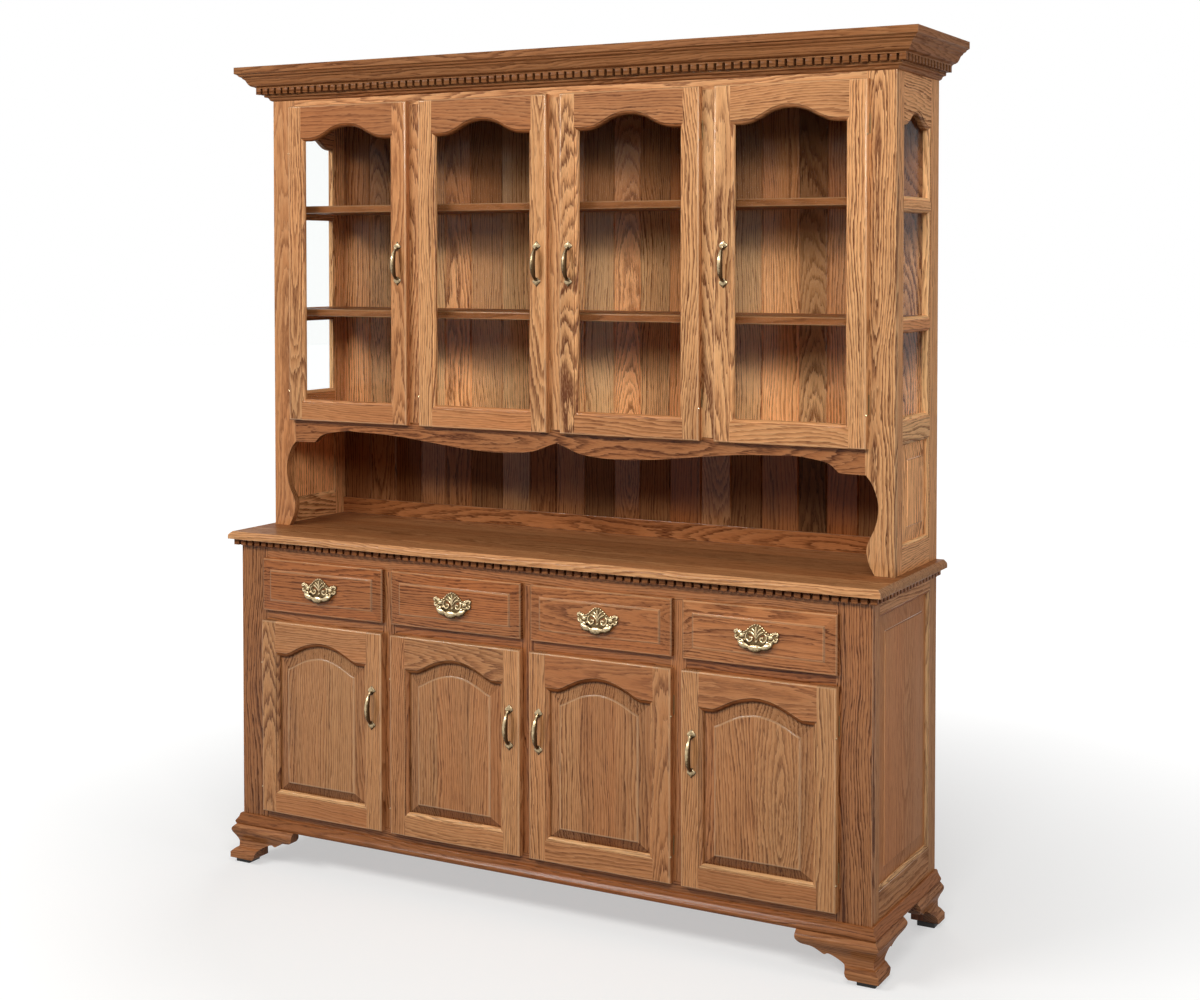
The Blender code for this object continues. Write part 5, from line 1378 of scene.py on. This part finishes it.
class HUTCH_OT_upper_case(bpy.types.Operator):
    """Make the upper case: ends, face frame, crown, back and shelves"""
    bl_idname = "hutch.upper_case"
    bl_label = "Upper case"

    def execute(self, context):
        scene = context.scene
        sizes = scene.hutch_joinery
        front = HUTCH_FRONT + BOARD + GAP
        near, far = HUTCH_FRONT + HUTCH_END_STILES[0], BACK - HUTCH_END_STILES[1]
        centre, half = (near + far) / 2, (far - near) / 2
        panel_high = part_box("hutch_door_1")[0][2] + 0.0133
        muntins = [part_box(name)[1][2] - 0.017 for name in ("lower_shelf", "upper_shelf")]
        for side, name in ((-1, "hutch_left_side"), (1, "hutch_right_side")):
            under, shoulder, rise = LITE_HEAD
            openings = [Opening(centre, half, HUTCH_LOW + HUTCH_END_RAIL, panel_high),
                        Opening(centre, half, panel_high + MIDDLE_RAIL, muntins[0] - HALF_MUNTIN),
                        Opening(centre, half, muntins[0] + HALF_MUNTIN, muntins[1] - HALF_MUNTIN),
                        Opening(centre, half, muntins[1] + HALF_MUNTIN, CASE_TOP - under, half - shoulder,
                                rise, HUTCH_ARCH)]
            boards = end_boards(side, front, HUTCH_LOW, CASE_TOP, 0.6)
            wood = Wood()
            place = end_frame(wood, side, front, HUTCH_LOW, CASE_TOP, openings, boards, 0.55)
            panel = board((side * HALF, centre, 1.0), Z, X * side, 1.5, True, 0.9, 0.5)
            raised_panel(wood, openings[0], place, sizes, panel)
            wood.finish(name.replace("side", "end"), "case", scene, (name,))
        self.face_frame(scene)
        self.crown(scene)
        self.back(scene)
        for name in ("upper_shelf", "lower_shelf", "hutch_floor"):
            low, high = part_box(name)
            wood = Wood()
            wood.add(box(*zip(low, high)),
                     board((0, low[1], high[2]), X, Z, -1.0, True, 0.6, 0.5))
            wood.finish("oak_" + name, "case", scene, (name,), SHELF_ARRIS)
        return {"FINISHED"}

    def face_frame(self, scene):
        reach = HALF - APRON_END
        foot_height = HUTCH_FLOOR_TOP - APRON[0][1] - HUTCH_LOW
        scroll = smooth([(HALF - x, HUTCH_LOW + share * foot_height) for x, share in SCROLL], 5)
        apron = smooth([(reach * share, HUTCH_FLOOR_TOP - drop) for share, drop in APRON], 5)
        right = scroll + apron
        left = [(-x, z) for x, z in reversed(right[:-1])]
        outline = [(HALF, HUTCH_LOW)] + right + left
        outline += [(-HALF, HUTCH_LOW), (-HALF, CASE_TOP), (HALF, CASE_TOP)]
        door_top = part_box("hutch_door_1")[1][2] - OVERLAY
        bays = []
        for number in NUMBERS:
            middle, half = door_span("hutch_door_%d" % number, "hutch_door_glass_%d" % number)[:2]
            bays.append((middle - half + OVERLAY, middle + half - OVERLAY))
        holes = [Opening((first + second) / 2, (second - first) / 2, HUTCH_FLOOR_TOP, door_top).loop()
                 for first, second in bays]
        shell = sheet(outline, holes, facing_front(HUTCH_FRONT), BOARD)
        split(shell, X, (bays[0][0], bays[-1][1]))
        split(shell, Z, (HUTCH_FLOOR_TOP, door_top))
        y = HUTCH_FRONT
        stiles = [board((-HALF + 0.036, y, HUTCH_LOW), Z, -Y, -0.1, False, 0.85, 0.65),
                  board((HALF - 0.036, y, HUTCH_LOW), Z, -Y, 0.1, False, 1.4, 0.3)]
        posts = [board(((first[1] + second[0]) / 2, y, 1.2), Z, -Y, tone, False, 1.1, cast)
                 for first, second, tone, cast in zip(bays, bays[1:], (0.0, 0.08, 0.2), (0.5, 0.3, 0.1))]
        top = board((0, y, CASE_TOP), X, -Y, 0.0, True, 0.9, 0.4)
        low_rail = board((0, y, HUTCH_FLOOR_TOP - 0.03), X, -Y, -0.7, False, 1.2, 0.6)

        def choose(middle):
            if not bays[0][0] < middle.x < bays[-1][1]:
                return stiles[0] if middle.x < 0 else stiles[1]
            if middle.z < HUTCH_FLOOR_TOP:
                return low_rail
            if middle.z > door_top:
                return top
            return posts[min(sum(middle.x > bay[0] for bay in bays) - 1, 2)]
        wood = Wood()
        wood.add(shell, choose)
        wood.finish("upper_frame", "case", scene, ("hutch_face_frame",))

    def crown(self, scene):
        sizes = scene.hutch_dentils
        low = CROWN_TOP - 0.0715
        cornice = list(CROWN[:3]) + smooth(CROWN[3:])
        profile = [(out, CROWN_TOP - down) for out, down in cornice]
        profile += [(sizes.crown_out, CROWN_TOP - 0.0555), (0.0185, CROWN_TOP - 0.0555), (0.0185, low)]
        profile += [(out, low - down) for out, down in smooth(BED_MOULD)]
        profile += [(GAP, profile[-1][1]), (GAP, CASE_TOP)]
        wood = Wood()
        wood.add(run_round(profile, HALF, HUTCH_FRONT),
                 trim_choice(HUTCH_FRONT, trim_boards(HUTCH_FRONT, CASE_TOP, -1.1, 0.35)))
        wood.finish("crown", "case", scene, ("crown_moulding",), FINE_ARRIS, 0.6)
        dentils("crown_dentils", scene, HUTCH_FRONT, sizes.crown_out, 0.018, CROWN_TOP - 0.0553, sizes.height,
                -1.3, 0.4)

    def back(self, scene):
        (x0, rail_front, z0), (x1, _, z1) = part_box("hutch_back")
        face = BACK - 0.012
        groove = 0.003
        edges = (x0,) + BACK_SEAMS + (x1,)
        levels = (HUTCH_FLOOR_TOP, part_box("lower_shelf")[1][2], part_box("upper_shelf")[1][2])
        wood = Wood()
        for index, (left, right) in enumerate(zip(edges, edges[1:])):
            start = left + (groove if index else 0)
            end = right - (groove if right != x1 else 0)
            outline = [(start, face), (end, face), (right, face + groove), (right, BACK), (left, BACK),
                       (left, face + groove)]
            shell = skin([[(x, y, z) for x, y in outline] for z in (z0, z1)])
            split(shell, Z, levels)
            made = board(((left + right) / 2, face, z0), Z, -Y, BACK_TONES[index], index % 3 != 1, 0.95,
                         BACK_CASTS[index])
            # Painted light and shade on the back's front, by height: darker in the nook under the hutch and
            # in the top bay, paler in the lowest bay and a little paler in the middle one; the rear keeps the
            # board's own tone
            lit_and_shaded_zones = [shaded_copy(made, tone) for tone in (-1.0, 1.25, 0.35, -0.75)]

            def choose(middle):
                return made if middle.y > BACK - 0.001 else lit_and_shaded_zones[sum(middle.z > level for level in levels)]
            wood.add(shell, choose)
        wood.add(box((x0, x1), (rail_front, face + 0.006), (z0, z0 + 0.043)),
                 board((0, face, z0), X, -Y, -0.35, False, 1.0, 0.8))
        wood.finish("back_boards", "case", scene, ("hutch_back",), FINE_ARRIS)


def turned(profile, start, axis, sides=14):
    """A turned shape from its (place along the axis, radius) points."""
    start, axis = Vector(start), Vector(axis)
    path = [start + axis * place for place, radius in profile]
    return tube(path, [radius for place, radius in profile], sides)


def both_halves(profile, steps):
    """A bow's or bail's whole (share, radius) curve from its first half."""
    rows = smooth(profile, steps)
    return rows + [(1 - turn, radius) for turn, radius in reversed(rows[:-1])]


class HUTCH_OT_bow_pulls(bpy.types.Operator):
    """Make the bow pulls of the doors: a swelling bow with ring necks between two leaves"""
    bl_idname = "hutch.bow_pulls"
    bl_label = "Bow pulls"

    def execute(self, context):
        for kind in ("hutch", "base"):
            for number in NUMBERS:
                node = "%s_door_pull_%d" % (kind, number)
                low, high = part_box(node)
                x, z = (low[0] + high[0]) / 2, (low[2] + high[2]) / 2
                shells = self.pull(context.scene.hutch_fittings, x, high[1], z)
                metal_piece("bow_pull_%s_%d" % (kind, number), shells, "%s_door_%d" % (kind, number),
                            dull_brass(context.scene), (node,))
        return {"FINISHED"}

    def pull(self, sizes, x, y, z):
        rows = both_halves(BOW, 3)
        reach = sizes.reach - BOW_MIDDLE
        path = [(x, y - reach * math.sin(math.pi * turn), z + sizes.bow * math.cos(math.pi * turn))
                for turn, radius in rows]
        path[0] = (x, y - 0.0008, path[0][2])
        path[-1] = (x, y - 0.0008, path[-1][2])
        shells = [tube(path, [radius for turn, radius in rows], 14)]
        arc = [math.pi * step / 10 for step in range(11)]
        thin, crown, broad = LEAF_THICK
        for sign in (1, -1):
            loops = []
            for half, along in smooth(LEAF, 3):
                half = max(half, 0.0003)
                swell = thin + crown * min(1.0, half / broad)
                loops.append([(x + half * math.cos(turn), y - swell * math.sin(turn) ** 0.7
                               - LEAF_VEIN * (abs(math.cos(turn)) < 0.1), z + sign * (sizes.bow + along))
                              for turn in arc])
            shells.append(skin(loops))
        return shells


class HUTCH_OT_drawer_pulls(bpy.types.Operator):
    """Make the drawer pulls: a pierced plate with scrolls and a fan, two posts and a swinging bail"""
    bl_idname = "hutch.drawer_pulls"
    bl_label = "Drawer pulls"

    def execute(self, context):
        scene = context.scene
        for number in NUMBERS:
            low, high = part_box("drawer_plate_%d" % number)
            x, back = (low[0] + high[0]) / 2, high[1]
            z = high[2] - PLATE[0][1]
            metal_piece("drawer_pull_plate_%d" % number, self.plate(x, back, z), "drawer_%d" % number,
                        dark_brass(), ("drawer_plate_%d" % number,))
            metal_piece("drawer_pull_ornament_%d" % number, self.ornament(x, back, z), "drawer_%d" % number,
                        brass(scene))
            metal_piece("drawer_pull_bail_%d" % number, self.bail(scene.hutch_fittings, x, back, z),
                        "drawer_bail_%d" % number, dull_brass(scene), ("drawer_bail_%d" % number,))
        return {"FINISHED"}

    def plate(self, x, back, z):
        """The flat of the plate, which stays dark."""
        half = smooth(PLATE, 3)
        outline = half + [(-u, v) for u, v in reversed(half[1:-1])]
        holes = [[(sign * u, v) for u, v in smooth(PIERCING + PIERCING[:1], 3)[:-1]] for sign in (1, -1)]
        return [sheet(outline, holes, lambda u, v, depth: (x + u, back - depth, z + v), PLATE_THICK)]

    def ornament(self, x, back, z):
        """What stands up from the plate: a fan of ribs, a rim of lobes, scrolls, leaves and two posts."""
        def at(u, v, out=0.0):
            return (x + u, back - PLATE_THICK - out, z + v)

        def rib(points, radii, sign):
            path = smooth(points, 6)
            start, middle, end = radii
            widths = []
            for step in range(len(path)):
                share = step / (len(path) - 1)
                width = (start * (1 - share) ** 2 + 2 * share * (1 - share) * (2 * middle - (start + end) / 2)
                         + end * share ** 2)
                nearest = min(step, len(path) - 1 - step)
                widths.append(width * (0.45, 0.85, 1.0)[min(nearest, 2)])
            return tube([at(sign * u, v, 0.0006) for u, v in path], widths, 10)
        shells = [rib(*MIDDLE_RIB, 1)]
        rim = smooth(PLATE[:11], 4)
        for sign in (1, -1):
            for points, radii in FAN_RIBS + SCROLLS:
                shells.append(rib(points, radii, sign))
            for start in range(1, len(rim) - 3, 4):
                lobe = [at(sign * u * 0.965, v * 0.965, 0.0008) for u, v in rim[start:start + 4]]
                shells.append(tube(lobe, LOBE_RADII, 10))
            for u, v, radius in LEAF_SWELLS:
                dome = [(out, radius * share) for out, share in SWELL_DOME]
                shells.append(turned(dome, at(sign * u, v), -Y, 12))
            shells.append(turned(POST, at(sign * POST_X, POST_Z), -Y, 16))
        shells.append(turned(BOSS, at(0.0, -0.0085), -Y, 12))
        return shells

    def bail(self, sizes, x, back, z):
        """The bail, flatter than round, and the pins that it swings on."""
        y = back - PLATE_THICK - 0.0070
        z += POST_Z
        half = POST_X + 0.0045 + BAIL[0][1] + 0.0024
        rows = both_halves(BAIL, 4)
        path = []
        for turn, radius in rows:
            across = math.cos(math.pi * turn)
            path.append((x + half * math.copysign(abs(across) ** 1.4, across), y,
                         z - sizes.bail_drop * math.sin(math.pi * turn)))
        path[0] = (x + half, y, z + BAIL[0][1])
        path[-1] = (x - half, y, z + BAIL[0][1])
        shells = [tube(path, [radius for turn, radius in rows], 14)]
        for vert in shells[0].verts:
            vert.co.y = y + (vert.co.y - y) * 0.58
        for sign in (1, -1):
            shells.append(tube([(x + sign * 0.030, y, z), (x + sign * half, y, z)], [0.0013, 0.0013], 8))
        return shells


class HUTCH_OT_hinges(bpy.types.Operator):
    """Make the hinges: slim barrels tucked in behind the doors' edges, with a ball tip under each"""
    bl_idname = "hutch.hinges"
    bl_label = "Hinges"

    def execute(self, context):
        barrel = [(0.0, BARREL_RADIUS)]
        for joint in BARREL_JOINTS:
            barrel += [(joint - 0.0003, BARREL_RADIUS), (joint, BARREL_LINE), (joint + 0.0003, BARREL_RADIUS)]
        barrel += [(BARREL_LENGTH, BARREL_RADIUS)]
        for kind, filling, end in (("hutch", "glass", 0.080), ("base", "panel", 0.066)):
            for number in NUMBERS:
                door = "%s_door_%d" % (kind, number)
                middle, half, low, high, front = door_span(door, "%s_door_%s_%d" % (kind, filling, number))
                side = -1 if number < 3 else 1
                x = middle + side * (half + 0.0014)
                starts = (low + end, high - end - BARREL_LENGTH)
                shells = [turned(barrel, (x, front + FRONT_THICK - 0.0016, start), Z) for start in starts]
                tips = [turned(BALL_TIP, (x - side * 0.0008, front + 0.0030, start), -Z) for start in starts]
                # The barrels' dark brown is a painted shade: it stands in for the shadow in the gap beside
                # the door
                metal_piece("hinges_%s_%d" % (kind, number), shells, door, dark_brass())
                metal_piece("hinge_tips_%s_%d" % (kind, number), tips, door, brass(context.scene))
        return {"FINISHED"}


class HUTCH_OT_kept_parts(bpy.types.Operator):
    """Give the panes and the plain boards inside the cases their finish"""
    bl_idname = "hutch.kept_parts"
    bl_label = "Glass and inside boards"

    def execute(self, context):
        panes = ["hutch_door_glass_%d" % number for number in NUMBERS]
        panes += ["side_glass_left", "side_glass_right"]
        boards = ["base_floor", "base_shelf", "base_back", "drawer_deck", "hutch_top"]
        for names, finish in ((panes, shared("float_glass", glass_material)),
                              (boards, plain_oak(context.scene))):
            for name in names:
                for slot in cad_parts[name].material_slots:
                    slot.material = finish
        return {"FINISHED"}


def soft_lamp(name, place, aim, width, height, power):
    data = bpy.data.lights.new(name, "AREA")
    data.shape = "RECTANGLE"
    data.size = width
    data.size_y = height
    data.energy = power
    lamp = bpy.data.objects.new(name, data)
    bpy.context.collection.objects.link(lamp)
    lamp.location = place
    lamp.rotation_euler = (Vector(aim) - Vector(place)).to_track_quat("-Z", "Y").to_euler()


class HUTCH_OT_stage(bpy.types.Operator):
    """Make the floor, the soft lamps, the white surroundings and the camera"""
    bl_idname = "hutch.stage"
    bl_label = "Stage"

    def execute(self, context):
        scene = context.scene
        stage = scene.hutch_stage
        scene.view_settings.view_transform = "Standard"
        builder = bmesh.new()
        bmesh.ops.create_circle(builder, cap_ends=True, radius=FLOOR_RADIUS, segments=64)
        mesh = bpy.data.meshes.new("floor")
        builder.to_mesh(mesh)
        builder.free()
        floor = bpy.data.objects.new("floor", mesh)
        scene.collection.objects.link(floor)
        mesh.materials.append(shared("pale_floor", lambda name: self.floor_material(name, stage)))

        world = scene.world or bpy.data.worlds.new("surroundings")
        scene.world = world
        world.use_nodes = True
        tree = world.node_tree
        tree.nodes.clear()
        seen = self.seen_directly(tree)
        strength = add(tree, MIX, {"Factor": seen, 2: stage.sky, 3: 1.0}, data_type="FLOAT")
        light = add(tree, "ShaderNodeBackground", {"Color": (1.0, 1.0, 1.0, 1.0), "Strength": strength})
        add(tree, "ShaderNodeOutputWorld", {"Surface": light})

        for key, place, aim, width, height in LAMPS:
            soft_lamp(key + "_lamp", place, aim, width, height, getattr(stage, key))

        data = bpy.data.cameras.new("camera")
        data.sensor_width = SENSOR_WIDTH
        data.lens = stage.lens
        data.shift_x, data.shift_y = CAMERA_SHIFT
        camera = bpy.data.objects.new("camera", data)
        scene.collection.objects.link(camera)
        camera.location = CAMERA_PLACE
        camera.rotation_euler = (math.radians(90 - CAMERA_DOWN), 0.0, math.radians(CAMERA_TURN))
        scene.camera = camera
        return {"FINISHED"}

    def seen_directly(self, tree):
        """1 for what the camera sees, also in gloss and through glass."""
        path = add(tree, "ShaderNodeLightPath").outputs
        first = add(tree, MATH, {0: path["Is Camera Ray"], 1: path["Is Glossy Ray"]}, operation="MAXIMUM")
        return add(tree, MATH, {0: first, 1: path["Is Transmission Ray"]}, operation="MAXIMUM")

    def floor_material(self, name, stage):
        """Matt white paper: no sheen, only the soft shadow under the feet shows on it, and further off it
        goes over into the white background."""
        made, tree, surface = new_material(name)
        paper = add(tree, "ShaderNodeBsdfDiffuse", {"Color": (*stage.floor, 1.0)})
        place = add(tree, "ShaderNodeTexCoord").outputs["Object"]
        away = add(tree, "ShaderNodeVectorMath", {0: place}, operation="LENGTH")
        lift = add(tree, RANGE, {"Value": away, "From Min": 0.9, "From Max": 3.0, "To Min": 0.5,
                                 "To Max": 1.0})
        lift = add(tree, MATH, {0: self.seen_directly(tree), 1: lift}, operation="MULTIPLY")
        glow = add(tree, "ShaderNodeEmission", {"Strength": lift})
        both = add(tree, "ShaderNodeAddShader", {0: paper, 1: glow})
        tree.links.new(both.outputs[0], surface)
        return made


# The operators, in the order in which they run
PIECES = (HUTCH_OT_base_case, HUTCH_OT_upper_case, HUTCH_OT_glazed_doors, HUTCH_OT_panelled_doors,
          HUTCH_OT_drawers, HUTCH_OT_bow_pulls, HUTCH_OT_drawer_pulls, HUTCH_OT_hinges, HUTCH_OT_kept_parts,
          HUTCH_OT_stage)


class HUTCH_PT_panel(bpy.types.Panel):
    """Sizes and finishes of the hutch, and its pieces"""
    bl_label = "Oak hutch"
    bl_idname = "HUTCH_PT_panel"
    bl_space_type = "VIEW_3D"
    bl_region_type = "UI"
    bl_category = "Hutch"

    def draw(self, context):
        for settings in SETTINGS:
            for key in settings.__annotations__:
                self.layout.prop(getattr(context.scene, SETTINGS[settings]), key)
        for operator in PIECES:
            self.layout.operator(operator.bl_idname)


# Where the scene keeps each group of settings
SETTINGS = {HutchOak: "hutch_oak", HutchJoinery: "hutch_joinery", HutchDentils: "hutch_dentils",
            HutchFittings: "hutch_fittings", HutchStage: "hutch_stage"}


def register():
    for kind, name in SETTINGS.items():
        bpy.utils.register_class(kind)
        setattr(bpy.types.Scene, name, bpy.props.PointerProperty(type=kind))
    for kind in PIECES + (HUTCH_PT_panel,):
        bpy.utils.register_class(kind)


def unregister():
    for kind in reversed(PIECES + (HUTCH_PT_panel,)):
        bpy.utils.unregister_class(kind)
    for kind, name in SETTINGS.items():
        delattr(bpy.types.Scene, name)
        bpy.utils.unregister_class(kind)


def main():
    register()
    for operator in PIECES:
        group, name = operator.bl_idname.split(".")
        getattr(getattr(bpy.ops, group), name)()


if __name__ == "__main__":
    main()
